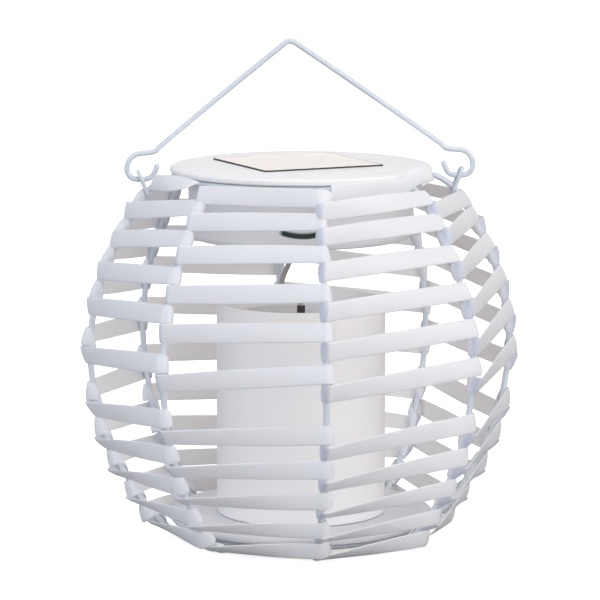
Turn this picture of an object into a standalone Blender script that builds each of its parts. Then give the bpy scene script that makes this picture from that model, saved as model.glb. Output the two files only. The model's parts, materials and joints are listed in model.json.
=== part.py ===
"""Solar lantern: a round cage of flat strip wound on eight wire ribs, with a bail handle,
a drop-in solar lamp module and a candle-shaped lamp. Metres, +Z up, base on z = 0."""

import math

import bmesh
import bpy
from mathutils import Matrix, Vector

MM = 0.001
GAP = 0.3

# frame of coated wire
RIBS = 8
RIB_WIRE_R = 1.45
# centre line of one rib, from its top end to its foot: radius and height
RIB_PROFILE = [
    (61.9, 170.9), (65.5, 169.6), (70.5, 166.2), (75.2, 161.3), (81.9, 149.6),
    (91.4, 130.7), (97.1, 111.8), (99.8, 92.9), (98.6, 74.0), (94.6, 55.0),
    (87.0, 36.1), (75.6, 17.2), (67.6, 7.6), (62.6, 3.0), (57.5, 1.5), (52.5, 1.45),
]
# spans of the profile that are short or nearly straight take one tube length, others two
RIB_SPANS = [1, 1, 1, 2, 2, 2, 2, 2, 2, 2, 2, 2, 1, 1, 1]
TOP_RING_R = 59.4
TOP_RING_Z = 171.2
BOTTOM_RING_R = 54.4
BOTTOM_RING_Z = 4.75
RING_WIRE_R = 1.45

# flat strip
STRIP_T = 0.7
WRAP_CLEAR = [0.85, 0.5, 0.45, 0.45, 0.45, 0.45, 0.45, 0.45, 0.45, 0.5, 0.6]
# the drop happens behind the rib, between these two angles
DROP_FROM = 67.5
DROP_TO = 247.5
WRAP_STEPS = 9
RIB_NAMES = ["b", "bl", "l", "fl", "f", "fr", "r", "br"]
# angle of each rib about Z, from the front (-Y) towards +X, in the order the strip meets them
RIB_TURN = {"b": 180, "bl": 225, "l": 270, "fl": 315, "f": 0, "fr": 45, "r": 90, "br": 135}
# height on the rib of the middle of each wrap, one row for each course, in rib order
COURSE_Z = [
    [None, None, None, 169.6, 166.8, 164.1, 158.6, 158.4],
    [159.6, 158.4, 157.4, 158.8, 154.8, 151.3, 148.0, 147.6],
    [146.6, 145.6, 144.6, 145.2, 140.8, 137.0, 134.4, 134.0],
    [132.6, 131.6, 130.6, 129.0, 124.6, 120.4, 118.8, 118.6],
    [117.0, 115.6, 114.4, 112.4, 107.8, 104.0, 102.4, 101.0],
    [97.0, 95.0, 92.0, 90.8, 89.8, 86.8, 85.0, 81.0],
    [76.0, 71.4, 66.6, 66.2, 62.6, 61.0, 60.0, 58.5],
    [56.2, 53.0, 50.2, 49.8, 46.8, 45.7, 45.0, 43.6],
    [40.9, 38.4, 35.9, 35.2, 32.1, 31.5, 30.9, 29.8],
    [26.3, 24.4, 22.3, 21.0, 18.7, 18.3, 17.9, 17.2],
    [12.8, 11.1, 9.4, 8.3, 6.6, 6.4, 6.2, 6.0],
]
# the first course only passes over these ribs, under the eyelet
PASSES = {(0, 6), (0, 7)}
# how far a strip drops along the rib in one wrap, its width there, and how far it flares
WRAP_PITCH = [7.4, 7.4, 7.9, 8.1, 8.2, 8.3, 8.4, 8.2, 8.0, 7.5, 5.9]
STRIP_W = [7.0, 7.0, 7.5, 7.7, 7.8, 7.8, 7.7, 7.3, 6.9, 6.0, 4.7]
WRAP_FLARE = [9.0, 9.0, 9.0, 9.5, 12.0, 18.0, 18.0, 18.0, 18.0, 16.0, 13.0]
# loose ends of the strip above the first course: place along the face and height
BAND_R = 68.5
BAND_W = 7.6
BAND_LEFT = [(0.30, 171.2), (0.60, 171.8), (0.87, 172.6)]
BAND_RIGHT = [(0.14, 171.0), (0.45, 171.3), (0.74, 172.6), (0.90, 175.6), (1.0, 177.0)]

# eyelets on the two side ribs and the bail that swings in them
EYE_WIRE_R = 0.9
EYE_BOTTOM = (73.9, 167.4)
EYE_TOP = (76.6, 173.9)
EYE_HALF_W = 2.9
BAIL_WIRE_R = 1.3
HINGE_Z = 170.3
# one hook, from the arm to the free end: distance from Z and height
HOOK = [
    (66.7, 185.2), (68.2, 183.6), (70.6, 182.8), (76.6, 182.2), (79.9, 180.2), (81.7, 176.6),
    (81.4, 173.2), (79.4, 170.9), (77.0, 170.3), (73.4, 170.3), (70.4, 171.4), (68.6, 174.0),
    (67.4, 177.4),
]
BAIL_APEX = (-5.2, 235.2)
APEX_BEND = 3.2

# lamp module
LID_R = 61.5
LID_Z = 173.0
LID_TOP = 177.2
PANEL_SIDE = 60.2
PANEL_X = -1.7
PANEL_TURN = 18.8
CELL_Z = (175.45, 176.05)
COVER_Z = (176.15, 177.45)
POCKET_Z = 175.3
HOUSING_R = 53.0
HOUSING_TOP = 172.7
HOUSING_Z = 142.4
HOUSING_WALL = 1.8
LEAD_R = 1.2
SWITCH_X = 27.0
SWITCH_Y = -14.0
DOOR_Y = 20.0

# candle and base plate
PLATE_R = 62.4
PLATE_Z = (6.45, 10.8)
BOSS_R = 38.3
BOSS_TOP = 13.0
CANDLE_R = 40.0
CANDLE_WALL = 1.3
CANDLE_Z = (11.1, 111.8)
CANDLE_TOP_Z = (101.6, 103.4)

for old in list(bpy.data.objects):
    bpy.data.objects.remove(old, do_unlink=True)


def material(name, colour, roughness, metallic=0.0):
    mat = bpy.data.materials.new(name)
    mat.use_nodes = True
    shader = mat.node_tree.nodes["Principled BSDF"]
    shader.inputs["Base Color"].default_value = (*colour, 1.0)
    shader.inputs["Roughness"].default_value = roughness
    shader.inputs["Metallic"].default_value = metallic
    return mat


WIRE = material("coated_wire", (0.72, 0.76, 0.80), 0.42)
STRIP = material("flat_strip", (0.84, 0.85, 0.87), 0.48)
LID_PLASTIC = material("lid_plastic", (0.88, 0.87, 0.86), 0.35)
HOUSING_PLASTIC = material("housing_plastic", (0.80, 0.79, 0.78), 0.45)
OPAL = material("opal_plastic", (0.84, 0.82, 0.81), 0.5)
SILICON = material("solar_cell", (0.03, 0.03, 0.05), 0.3)
CLEAR = material("clear_cover", (0.85, 0.80, 0.72), 0.1)
BOARD = material("board_green", (0.02, 0.16, 0.12), 0.45)
BATTERY = material("battery_sleeve", (0.10, 0.30, 0.16), 0.35)
SPRING_STEEL = material("plated_steel", (0.70, 0.70, 0.70), 0.3, 1.0)
RUBBER = material("black_rubber", (0.02, 0.02, 0.02), 0.6)
LEAD_SHEATH = material("lead_sheath", (0.16, 0.13, 0.13), 0.5)
LENS = material("led_lens", (0.90, 0.85, 0.65), 0.1)


def add_mesh(name, verts, faces, mat, smooth=False):
    mesh = bpy.data.meshes.new(name)
    mesh.from_pydata([Vector(v) * MM for v in verts], [], faces)
    bm = bmesh.new()
    bm.from_mesh(mesh)
    bmesh.ops.recalc_face_normals(bm, faces=bm.faces)
    bm.to_mesh(mesh)
    bm.free()
    for poly in mesh.polygons:
        poly.use_smooth = smooth
    mesh.materials.append(mat)
    obj = bpy.data.objects.new(name, mesh)
    bpy.context.scene.collection.objects.link(obj)
    return obj


def place_origin(obj, point):
    """Put the object's origin on its joint axis without moving its surface."""
    offset = Vector(point) * MM
    obj.data.transform(Matrix.Translation(-offset))
    obj.location = offset


def lathe(name, profile, mat, steps=48, centre=(0.0, 0.0), smooth=True):
    """Turn a closed outline of (radius, height) about a vertical axis."""
    verts = []
    rows = []
    for radius, height in profile:
        if radius < 1e-6:
            rows.append([len(verts)] * steps)
            verts.append((centre[0], centre[1], height))
            continue
        row = []
        for i in range(steps):
            a = 2 * math.pi * i / steps
            row.append(len(verts))
            verts.append((centre[0] + radius * math.cos(a), centre[1] + radius * math.sin(a), height))
        rows.append(row)
    faces = []
    for j in range(len(rows)):
        lower = rows[j]
        upper = rows[(j + 1) % len(rows)]
        for i in range(steps):
            k = (i + 1) % steps
            corners = []
            for index in (lower[i], lower[k], upper[k], upper[i]):
                if index not in corners:
                    corners.append(index)
            if len(corners) > 2:
                faces.append(corners)
    return add_mesh(name, verts, faces, mat, smooth)


def box(name, low, high, mat):
    (x0, y0, z0), (x1, y1, z1) = low, high
    verts = [(x, y, z) for z in (z0, z1) for y in (y0, y1) for x in (x0, x1)]
    faces = [(0, 2, 3, 1), (4, 5, 7, 6), (0, 1, 5, 4), (2, 6, 7, 3), (0, 4, 6, 2), (1, 3, 7, 5)]
    return add_mesh(name, verts, faces, mat)


def ring(name, radius, height, wire_r, mat, steps=40, sides=8):
    verts = []
    for i in range(steps):
        a = 2 * math.pi * i / steps
        for j in range(sides):
            b = 2 * math.pi * (j + 0.5) / sides
            r = radius + wire_r * math.cos(b)
            verts.append((r * math.cos(a), r * math.sin(a), height + wire_r * math.sin(b)))
    faces = []
    for i in range(steps):
        for j in range(sides):
            i2 = (i + 1) % steps
            j2 = (j + 1) % sides
            faces.append((i * sides + j, i2 * sides + j, i2 * sides + j2, i * sides + j2))
    return add_mesh(name, verts, faces, mat, smooth=True)


def wire(name, points, wire_r, mat, closed=False, resolution=2):
    curve = bpy.data.curves.new(name, "CURVE")
    curve.dimensions = "3D"
    curve.bevel_depth = wire_r * MM
    curve.bevel_resolution = resolution
    curve.use_fill_caps = not closed
    spline = curve.splines.new("POLY")
    spline.points.add(len(points) - 1)
    for point, place in zip(spline.points, points):
        point.co = (*(Vector(place) * MM), 1.0)
    spline.use_cyclic_u = closed
    spline.use_smooth = True
    curve.materials.append(mat)
    obj = bpy.data.objects.new(name, curve)
    bpy.context.scene.collection.objects.link(obj)
    return obj


def smooth_path(points, per_span):
    """Read points from a smooth curve that passes through every given point."""
    pts = [Vector(p) for p in points]
    ends = [pts[0] * 2 - pts[1]] + pts + [pts[-1] * 2 - pts[-2]]
    out = []
    for i in range(1, len(ends) - 2):
        p0, p1, p2, p3 = ends[i - 1:i + 3]
        for k in range(per_span):
            t = k / per_span
            out.append(0.5 * (2 * p1 + (p2 - p0) * t + (2 * p0 - 5 * p1 + 4 * p2 - p3) * t * t
                              + (3 * p1 - p0 - 3 * p2 + p3) * t ** 3))
    out.append(pts[-1])
    return out


def lengths_along(points):
    total = [0.0]
    for a, b in zip(points, points[1:]):
        total.append(total[-1] + (b - a).length)
    return total


def read_at(points, lengths, s):
    s = min(max(s, 0.0), lengths[-1])
    for i in range(len(lengths) - 1):
        if lengths[i + 1] >= s:
            t = (s - lengths[i]) / max(lengths[i + 1] - lengths[i], 1e-9)
            return points[i].lerp(points[i + 1], t)
    return points[-1].copy()


RIB_LINE = smooth_path([(r, z) if len((r, z)) == 3 else (r, 0.0, z) for r, z in RIB_PROFILE], 10)
RIB_LENGTHS = lengths_along(RIB_LINE)


def rib_length_at(height):
    for i in range(len(RIB_LINE) - 1):
        above, below = RIB_LINE[i].z, RIB_LINE[i + 1].z
        if above >= height >= below:
            t = (above - height) / max(above - below, 1e-9)
            return RIB_LENGTHS[i] + t * (RIB_LENGTHS[i + 1] - RIB_LENGTHS[i])
    return RIB_LENGTHS[-1]


def rib_frame(turn, s):
    """Point on a rib, with its outward, upward and sideways directions there."""
    a = math.radians(turn)
    out = Vector((math.sin(a), -math.cos(a), 0.0))
    side = Vector((math.cos(a), math.sin(a), 0.0))
    here = read_at(RIB_LINE, RIB_LENGTHS, s)
    step = read_at(RIB_LINE, RIB_LENGTHS, s - 1.0) - read_at(RIB_LINE, RIB_LENGTHS, s + 1.0)
    step.normalize()
    up = out * step.x + Vector((0, 0, 1)) * step.z
    away = out * step.z - Vector((0, 0, 1)) * step.x
    return out * here.x + Vector((0, 0, here.z)), away, up, side


def wrap(course, turn, s_in, s_out, first, last, steps):
    """Stations of a strip wound on a rib: centre, width direction, thickness direction."""
    f = math.radians(WRAP_FLARE[course])
    centre_r = RIB_WIRE_R + WRAP_CLEAR[course] + STRIP_T / 2 + STRIP_W[course] / 2 * math.sin(f)
    stations = []
    for i in range(steps + 1):
        deg = first + (last - first) * i / steps
        t = min(max((deg - DROP_FROM) / (DROP_TO - DROP_FROM), 0.0), 1.0)
        s = s_in + (s_out - s_in) * t * t * (3 - 2 * t)
        point, away, up, side = rib_frame(turn, s)
        e = away * math.cos(math.radians(deg)) + side * math.sin(math.radians(deg))
        across = up * math.cos(f) + e * math.sin(f)
        through = e * math.cos(f) - up * math.sin(f)
        stations.append((point + e * centre_r, across, through))
    return stations


def tangent_angle(turn, s):
    """Angle on the rib at which a strip from the next rib touches the wrap."""
    _, away, _, _ = rib_frame(turn, s)
    level = math.hypot(away.x, away.y)
    return math.degrees(math.atan(math.tan(math.radians(22.5)) * level))


def between(a, b, t):
    across = a[1].lerp(b[1], t).normalized()
    through = a[2].lerp(b[2], t)
    through = (through - across * through.dot(across)).normalized()
    return a[0].lerp(b[0], t), across, through


def ribbon(name, stations, width, thick=STRIP_T):
    verts = []
    for centre, across, through in stations:
        for u, v in ((-1, -1), (1, -1), (1, 1), (-1, 1)):
            verts.append(centre + across * (u * width / 2) + through * (v * thick / 2))
    faces = [(3, 2, 1, 0)]
    for i in range(len(stations) - 1):
        a, b = i * 4, i * 4 + 4
        for j in range(4):
            k = (j + 1) % 4
            faces.append((a + j, a + k, b + k, b + j))
    last = (len(stations) - 1) * 4
    faces.append((last, last + 1, last + 2, last + 3))
    return add_mesh(name, verts, faces, STRIP)


def full_wrap(course, rib, start_half=False):
    s = rib_length_at(COURSE_Z[course][rib])
    pitch = WRAP_PITCH[course]
    turn = RIB_TURN[RIB_NAMES[rib]]
    touch = tangent_angle(turn, s)
    if (course, rib) in PASSES:
        return wrap(course, turn, s, s, -touch, touch, 1)
    first = 150.0 if start_half else -touch
    steps = 5 if start_half else WRAP_STEPS
    return wrap(course, turn, s - pitch / 2, s + pitch / 2, first, 360.0 + touch, steps)


def course_strip(course):
    """One course: a wrap on each rib with a straight run to the next."""
    ribs = [i for i in range(RIBS) if COURSE_Z[course][i] is not None]
    stations = []
    for rib in ribs:
        stations += full_wrap(course, rib, start_half=(rib == ribs[0] and course == 0))
    if course + 1 < len(COURSE_Z):
        meet = full_wrap(course + 1, 0)[0]
    else:
        s = rib_length_at(COURSE_Z[course][0]) + WRAP_PITCH[course] * 1.5
        meet = wrap(course, 180, s, s, -20.0, 0.0, 1)[0]
    stations.append(between(stations[-1], meet, 0.99))
    return ribbon("strip_%02d" % (course + 1), stations, STRIP_W[course])


def band_strip(name, rib_from, rib_to, places, tuck):
    """A loose run of strip round the lid, from beside one rib to the next."""
    ends = []
    for rib in (rib_from, rib_to):
        a = math.radians(RIB_TURN[RIB_NAMES[rib]])
        ends.append(Vector((math.sin(a), -math.cos(a), 0.0)) * BAND_R)
    run = (ends[1] - ends[0]).normalized()
    outward = run.cross(Vector((0, 0, 1)))
    stations = []
    for t, height in places:
        stations.append((ends[0].lerp(ends[1], t) + Vector((0, 0, height)), Vector((0, 0, 1)), outward))
    if tuck:
        here = ends[1].normalized()
        side = Vector((-here.y, here.x, 0.0))
        for along, inward, drop in ((2.6, 1.0, 0.2), (4.2, 3.2, 1.6)):
            centre = ends[1] + side * along - here * inward
            centre.z = places[-1][1] - drop
            through = (here + side * along * 0.25).normalized()
            stations.append((centre, Vector((0, 0, 1)), through))
    return ribbon(name, stations, BAND_W)


def cutter(name, low, high):
    obj = box(name, low, high, STRIP)
    obj.hide_render = True
    obj.display_type = "WIRE"
    return obj


def round_cutter(name, radius, low, high, centre, steps=24):
    obj = lathe(name, [(0, low), (radius, low), (radius, high), (0, high)], STRIP, steps, centre)
    obj.hide_render = True
    obj.display_type = "WIRE"
    return obj


def cut(obj, tool):
    mod = obj.modifiers.new("cut_" + tool.name, "BOOLEAN")
    mod.operation = "DIFFERENCE"
    mod.solver = "EXACT"
    mod.object = tool


def turned_box(name, half, z_low, z_high, centre_x, turn, mat):
    verts = []
    for z in (z_low, z_high):
        for i in range(4):
            a = math.radians(turn + 45 + 90 * i)
            r = half * math.sqrt(2)
            verts.append((centre_x + r * math.cos(a), r * math.sin(a), z))
    faces = [(3, 2, 1, 0), (4, 5, 6, 7)] + [(i, (i + 1) % 4, (i + 1) % 4 + 4, i + 4) for i in range(4)]
    return add_mesh(name, verts, faces, mat)


# frame
rib_points = []
for span, pieces in enumerate(RIB_SPANS):
    for piece in range(pieces):
        rib_points.append(RIB_LINE[span * 10 + piece * 10 // pieces])
rib_points.append(RIB_LINE[-1])
for number, rib_name in enumerate(RIB_NAMES):
    angle = math.radians(RIB_TURN[rib_name])
    places = [(p.x * math.sin(angle), -p.x * math.cos(angle), p.z) for p in rib_points]
    wire("rib_" + rib_name, places, RIB_WIRE_R, WIRE)
ring("top_ring", TOP_RING_R, TOP_RING_Z, RING_WIRE_R, WIRE)
ring("bottom_ring", BOTTOM_RING_R, BOTTOM_RING_Z, RING_WIRE_R, WIRE)

for side, sign in (("left", -1), ("right", 1)):
    lean = Vector((EYE_TOP[0] - EYE_BOTTOM[0], 0, EYE_TOP[1] - EYE_BOTTOM[1]))
    reach = lean.length - 2 * EYE_HALF_W
    lean.normalize()
    loop = []
    for end, start_deg in ((0.0, 180.0), (reach, 0.0)):
        for i in range(7):
            a = math.radians(start_deg + 30.0 * i)
            along = EYE_HALF_W + end + EYE_HALF_W * math.sin(a)
            loop.append((sign * (EYE_BOTTOM[0] + lean.x * along), EYE_HALF_W * math.cos(a),
                         EYE_BOTTOM[1] + lean.z * along))
    wire("eyelet_" + side, loop, EYE_WIRE_R, WIRE, closed=True, resolution=1)

# strip courses
for number in range(len(COURSE_Z)):
    course_strip(number)
band_strip("strip_top_left", 2, 3, BAND_LEFT, tuck=False)
band_strip("strip_top_right", 4, 5, BAND_RIGHT, tuck=True)

# bail
left_hook = [(-x, 0.0, z) for x, z in HOOK]
right_hook = [(x, 0.0, z) for x, z in HOOK]
apex = Vector((BAIL_APEX[0], 0.0, BAIL_APEX[1]))
arm_left = (Vector(left_hook[0]) - apex).normalized()
arm_right = (Vector(right_hook[0]) - apex).normalized()
bend = []
for k in range(7):
    t = k / 6
    a = apex + arm_left * APEX_BEND
    b = apex + arm_right * APEX_BEND
    bend.append(a * (1 - t) ** 2 + apex * 2 * t * (1 - t) + b * t ** 2)
left_part = smooth_path(list(reversed(left_hook)), 2)
right_part = smooth_path(right_hook, 2)
bail = wire("bail_handle", left_part + bend + right_part, BAIL_WIRE_R, WIRE)
for point in bail.data.splines[0].points:
    point.co.z -= HINGE_Z * MM
bail.location = (0, 0, HINGE_Z * MM)

# lamp module: lid, solar panel and housing
lid = lathe("module_lid", [
    (0, 174.0), (51.0, 174.0), (51.0, 173.0), (60.9, LID_Z), (61.5, 173.6), (61.5, 175.2),
    (60.6, 176.1), (57.0, 176.7), (45.0, LID_TOP), (0, LID_TOP)], LID_PLASTIC, steps=64)
pocket = turned_box("pocket_cutter", PANEL_SIDE / 2 + 0.35, POCKET_Z, 180.0, PANEL_X, PANEL_TURN, STRIP)
pocket.hide_render = True
pocket.display_type = "WIRE"
cut(lid, pocket)
turned_box("solar_cell", PANEL_SIDE / 2, CELL_Z[0], CELL_Z[1], PANEL_X, PANEL_TURN, SILICON)
turned_box("panel_cover", PANEL_SIDE / 2, COVER_Z[0], COVER_Z[1], PANEL_X, PANEL_TURN, CLEAR)

housing = lathe("lamp_housing", [
    (0, HOUSING_Z), (50.6, HOUSING_Z), (52.3, 143.1), (53.0, 144.8), (HOUSING_R, HOUSING_TOP),
    (HOUSING_R - HOUSING_WALL, HOUSING_TOP), (HOUSING_R - HOUSING_WALL, 145.6),
    (50.0, HOUSING_Z + HOUSING_WALL), (0, HOUSING_Z + HOUSING_WALL)], HOUSING_PLASTIC, steps=48)
floor_low = HOUSING_Z - 1.0
floor_high = HOUSING_Z + HOUSING_WALL + 1.0
cut(housing, round_cutter("lead_hole_cutter", 2.6, floor_low, floor_high, (0.0, 0.0)))
cut(housing, cutter("slot_cutter", (SWITCH_X - 4.4, SWITCH_Y - 2.2, floor_low),
                    (SWITCH_X + 4.4, SWITCH_Y + 2.2, floor_high)))
cut(housing, cutter("door_cutter", (-28.0, DOOR_Y - 8.6, floor_low), (28.0, DOOR_Y + 8.6, floor_high)))
for hole_name, hole_x in (("screw_hole_1", -31.5), ("screw_hole_2", 31.5)):
    cut(housing, round_cutter(hole_name, 1.5, floor_low, floor_high, (hole_x, DOOR_Y), 12))

lathe("module_grommet", [
    (1.5, 141.3), (3.8, 141.3), (3.8, 142.1), (2.3, 142.1), (2.3, 145.2), (1.5, 145.2)],
    RUBBER, steps=20)
box("circuit_board", (-15.6, -48.3, 147.6), (7.0, -46.7, 167.5), BOARD)
door = box("battery_door", (-35.0, DOOR_Y - 10.0, 140.6), (35.0, DOOR_Y + 10.0, 142.1), HOUSING_PLASTIC)
for hole_name, hole_x in (("door_hole_1", -31.5), ("door_hole_2", 31.5)):
    cut(door, round_cutter(hole_name, 1.5, 139.0, 143.5, (hole_x, DOOR_Y), 12))
for number, screw_x in ((1, -31.5), (2, 31.5)):
    lathe("door_screw_%d" % number, [
        (0, 138.9), (1.6, 138.9), (2.7, 139.5), (2.7, 140.3), (1.2, 140.3), (1.2, 147.5),
        (0, 148.4)], SPRING_STEEL, steps=16, centre=(screw_x, DOOR_Y))


def battery_outline():
    outline = [(0, -25.0), (5.6, -25.0), (6.9, -24.6), (7.1, -23.8), (7.1, 23.2), (6.4, 24.0),
               (2.7, 24.0), (2.7, 25.2), (0, 25.2)]
    return outline


battery = lathe("battery", battery_outline(), BATTERY, steps=24)
battery.data.transform(Matrix.Rotation(math.radians(90), 4, "Y"))
battery.data.transform(Matrix.Translation(Vector((-1.6, DOOR_Y, 152.4)) * MM))
box("contact_plus", (24.0, DOOR_Y - 5.0, 145.0), (24.6, DOOR_Y + 5.0, 158.5), SPRING_STEEL)
coil = []
for k in range(49):
    a = 2 * math.pi * 3.0 * k / 48
    coil_r = 4.6 - 1.7 * k / 48
    coil.append((-34.6 + 7.2 * k / 48, DOOR_Y + coil_r * math.cos(a), 152.4 + coil_r * math.sin(a)))
wire("contact_spring", coil, 0.35, SPRING_STEEL, resolution=1)
box("contact_minus", (-35.8, DOOR_Y - 5.0, 145.0), (-35.2, DOOR_Y + 5.0, 158.5), SPRING_STEEL)
box("switch_body", (SWITCH_X - 5.6, SWITCH_Y - 3.2, 144.6), (SWITCH_X + 5.6, SWITCH_Y + 3.2, 148.6), RUBBER)
slider = box("switch_slider", (SWITCH_X - 3.9, SWITCH_Y - 1.7, 140.9),
             (SWITCH_X - 0.3, SWITCH_Y + 1.7, 144.3), RUBBER)
place_origin(slider, (SWITCH_X - 2.1, SWITCH_Y, 142.6))

# lead from the module to the candle, held at both ends
lead_route = smooth_path([
    (0.0, 0.0, 148.0), (0.0, 0.0, 142.0), (-1.6, 0.0, 137.2), (-5.4, 0.0, 130.0),
    (-8.6, 0.0, 122.6), (-9.4, 0.0, 117.4), (-7.2, 0.0, 113.9), (-2.6, 0.0, 113.4),
    (-0.2, 0.0, 111.2), (0.0, 0.0, 108.2), (0.0, 0.0, 104.6)], 3)
wire("lamp_lead", lead_route, LEAD_R, LEAD_SHEATH)

# candle
lathe("candle_tube", [
    (CANDLE_R - CANDLE_WALL, CANDLE_Z[0]), (CANDLE_R, CANDLE_Z[0]), (CANDLE_R, CANDLE_Z[1] - 0.5),
    (CANDLE_R - 0.4, CANDLE_Z[1]), (CANDLE_R - CANDLE_WALL + 0.3, CANDLE_Z[1]),
    (CANDLE_R - CANDLE_WALL, CANDLE_Z[1] - 0.4)], OPAL, steps=48)
top_r = CANDLE_R - CANDLE_WALL - GAP
lathe("candle_top", [
    (2.1, CANDLE_TOP_Z[0]), (top_r, CANDLE_TOP_Z[0]), (top_r, CANDLE_TOP_Z[1]),
    (2.1, CANDLE_TOP_Z[1])], OPAL, steps=48)
lathe("lead_stub", [
    (1.5, 101.0), (1.85, 101.0), (1.85, 103.7), (3.2, 103.7), (3.2, 104.5), (1.9, 105.0),
    (1.9, 109.3), (1.5, 109.3)], RUBBER, steps=20)
lathe("led_board", [(0, 99.2), (11.0, 99.2), (11.0, 100.7), (0, 100.7)], BOARD, steps=28)
lathe("led_lens", [
    (0, 90.3), (1.4, 90.6), (2.3, 91.7), (2.5, 93.0), (2.5, 97.4), (2.9, 97.4), (2.9, 98.9),
    (0, 98.9)], LENS, steps=20)
lathe("base_plate", [
    (0, PLATE_Z[0]), (PLATE_R - 2.4, PLATE_Z[0]), (PLATE_R - 0.7, 7.2), (PLATE_R, 8.8),
    (PLATE_R, PLATE_Z[1] - 0.6), (PLATE_R - 0.6, PLATE_Z[1]), (BOSS_R, PLATE_Z[1]),
    (BOSS_R, BOSS_TOP - 0.6), (BOSS_R - 0.6, BOSS_TOP), (0, BOSS_TOP)], LID_PLASTIC, steps=64)
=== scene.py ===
"""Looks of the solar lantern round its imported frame: wound strip, coated wire, lamp module, candle,
finishes, studio light and camera."""

import json
import math
from functools import partial

import bmesh
import bpy
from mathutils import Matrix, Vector

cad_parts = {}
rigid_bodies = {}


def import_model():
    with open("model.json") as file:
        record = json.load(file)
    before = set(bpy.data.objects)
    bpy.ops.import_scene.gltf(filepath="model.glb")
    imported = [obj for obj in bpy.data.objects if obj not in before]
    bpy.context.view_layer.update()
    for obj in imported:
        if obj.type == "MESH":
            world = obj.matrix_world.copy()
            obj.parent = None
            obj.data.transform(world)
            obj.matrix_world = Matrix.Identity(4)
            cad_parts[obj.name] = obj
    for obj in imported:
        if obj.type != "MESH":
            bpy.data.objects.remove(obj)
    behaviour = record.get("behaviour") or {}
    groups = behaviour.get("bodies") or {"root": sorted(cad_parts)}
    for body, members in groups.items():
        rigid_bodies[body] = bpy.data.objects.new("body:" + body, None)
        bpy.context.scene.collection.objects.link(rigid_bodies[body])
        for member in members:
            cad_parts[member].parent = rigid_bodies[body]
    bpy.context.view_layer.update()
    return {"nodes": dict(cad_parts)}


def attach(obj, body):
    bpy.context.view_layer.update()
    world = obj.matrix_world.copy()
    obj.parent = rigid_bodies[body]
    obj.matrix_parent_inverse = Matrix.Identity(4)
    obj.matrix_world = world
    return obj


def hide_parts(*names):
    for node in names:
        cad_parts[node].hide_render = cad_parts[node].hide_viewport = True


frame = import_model()

MM = 0.001
UP = Vector((0.0, 0.0, 1.0))

# ---------------------------------------------------------------- sizes, in millimetres and degrees
RIB_WIRE_R = 1.45
# one rib, from its top end to its foot: distance from the axis and height
RIB_PROFILE = [
    (61.9, 170.9), (65.5, 169.6), (70.5, 166.2), (75.2, 161.3), (81.9, 149.6),
    (91.4, 130.7), (97.1, 111.8), (99.8, 92.9), (98.6, 74.0), (94.6, 55.0),
    (87.0, 36.1), (75.6, 17.2), (67.6, 7.6), (62.6, 3.0), (57.5, 1.5), (52.5, 1.45),
]
# radius and height of the middle line of each ring, and where the ribs are welded to them
TOP_RING = (59.4, 171.2)
BOTTOM_RING = (54.4, 4.75)
WELDS = [(60.7, 171.0), (54.4, 3.1)]
# the ribs in the order in which the strip is wound on them, and how far each is turned round the axis
RIB_NAMES = ["b", "bl", "l", "fl", "f", "fr", "r", "br"]
RIB_TURN = {"b": 180, "bl": 225, "l": 270, "fl": 315, "f": 0, "fr": 45, "r": 90, "br": 135}
# height of each course's middle on each rib, in that order; the top course starts at the fourth
COURSE_Z = [
    [None, None, None, 169.6, 166.8, 164.1, 158.6, 158.4],
    [159.6, 158.4, 157.4, 158.8, 154.8, 151.3, 148.0, 147.6],
    [146.6, 145.6, 144.6, 145.2, 140.8, 137.0, 134.4, 134.0],
    [132.6, 131.6, 130.6, 129.0, 124.6, 120.4, 118.8, 118.6],
    [117.0, 115.6, 114.4, 112.4, 107.8, 104.0, 102.4, 101.0],
    [97.0, 95.0, 92.0, 90.8, 89.8, 86.8, 85.0, 81.0],
    [76.0, 71.4, 66.6, 66.2, 62.6, 61.0, 60.0, 58.5],
    [56.2, 53.0, 50.2, 49.8, 46.8, 45.7, 45.0, 43.6],
    [40.9, 38.4, 35.9, 35.2, 32.1, 31.5, 30.9, 29.8],
    [26.3, 24.4, 22.3, 21.0, 18.7, 18.3, 17.9, 17.2],
    [12.8, 11.1, 9.4, 8.3, 6.6, 6.4, 6.2, 6.0],
]
# course and rib, where the strip only passes over the rib, without a turn round it
PASSES = {(0, 6), (0, 7)}
STRIP_T = 0.62
WRAP_GAP = 0.35
# on each course: how far above and below its middle the strip arrives and leaves, how far the arriving
# pass lies over, half the strip's width, and its lean where it arrives and where it leaves
WRAP_IN = [3.8, 3.8, 4.15, 4.25, 4.3, 4.35, 4.4, 4.3, 4.0, 2.3, 5.4]
WRAP_OUT = [3.8, 3.8, 4.15, 4.25, 4.3, 4.35, 4.4, 4.3, 4.0, 3.9, 2.6]
WRAP_OVER = [0.35, 0.35, 0.35, 0.35, 0.35, 0.35, 0.35, 0.35, 0.4, 0.5, 1.1]
HALF_WIDTH = [4.2, 4.25, 4.25, 4.3, 4.4, 4.4, 4.4, 4.35, 4.25, 4.15, 4.15]
LEAN_IN = [-3.0, -2.0, -8.0, -6.0, -8.0, -12.0, -14.0, -16.0, -18.0, -20.0, -26.0]
LEAN_OUT = [8.0, 21.0, 16.0, 15.0, 16.0, 18.0, 22.0, 28.0, 33.0, 31.0, 22.0]
# on the way round a rib, from straight out: where the strip steps down and over how much, where it has
# lost the lean it arrives with, where it takes the lean it leaves with, and where painted shade darkens its
# fold
STEP_DOWN = (67.5, 180.0)
ARRIVAL = (120.0, 50.0)
LEAVING = (305.0, 60.0)
FOLD_SHADE = (250.0, 70.0)
FOLD_SHADE_END = 26.0
# where the top course's tucked start lies on its first rib, and the small caps on the strip's cut ends
TUCKED_START = 150.0
END_CAP = 0.12
END_WIDTH = 0.985
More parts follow.
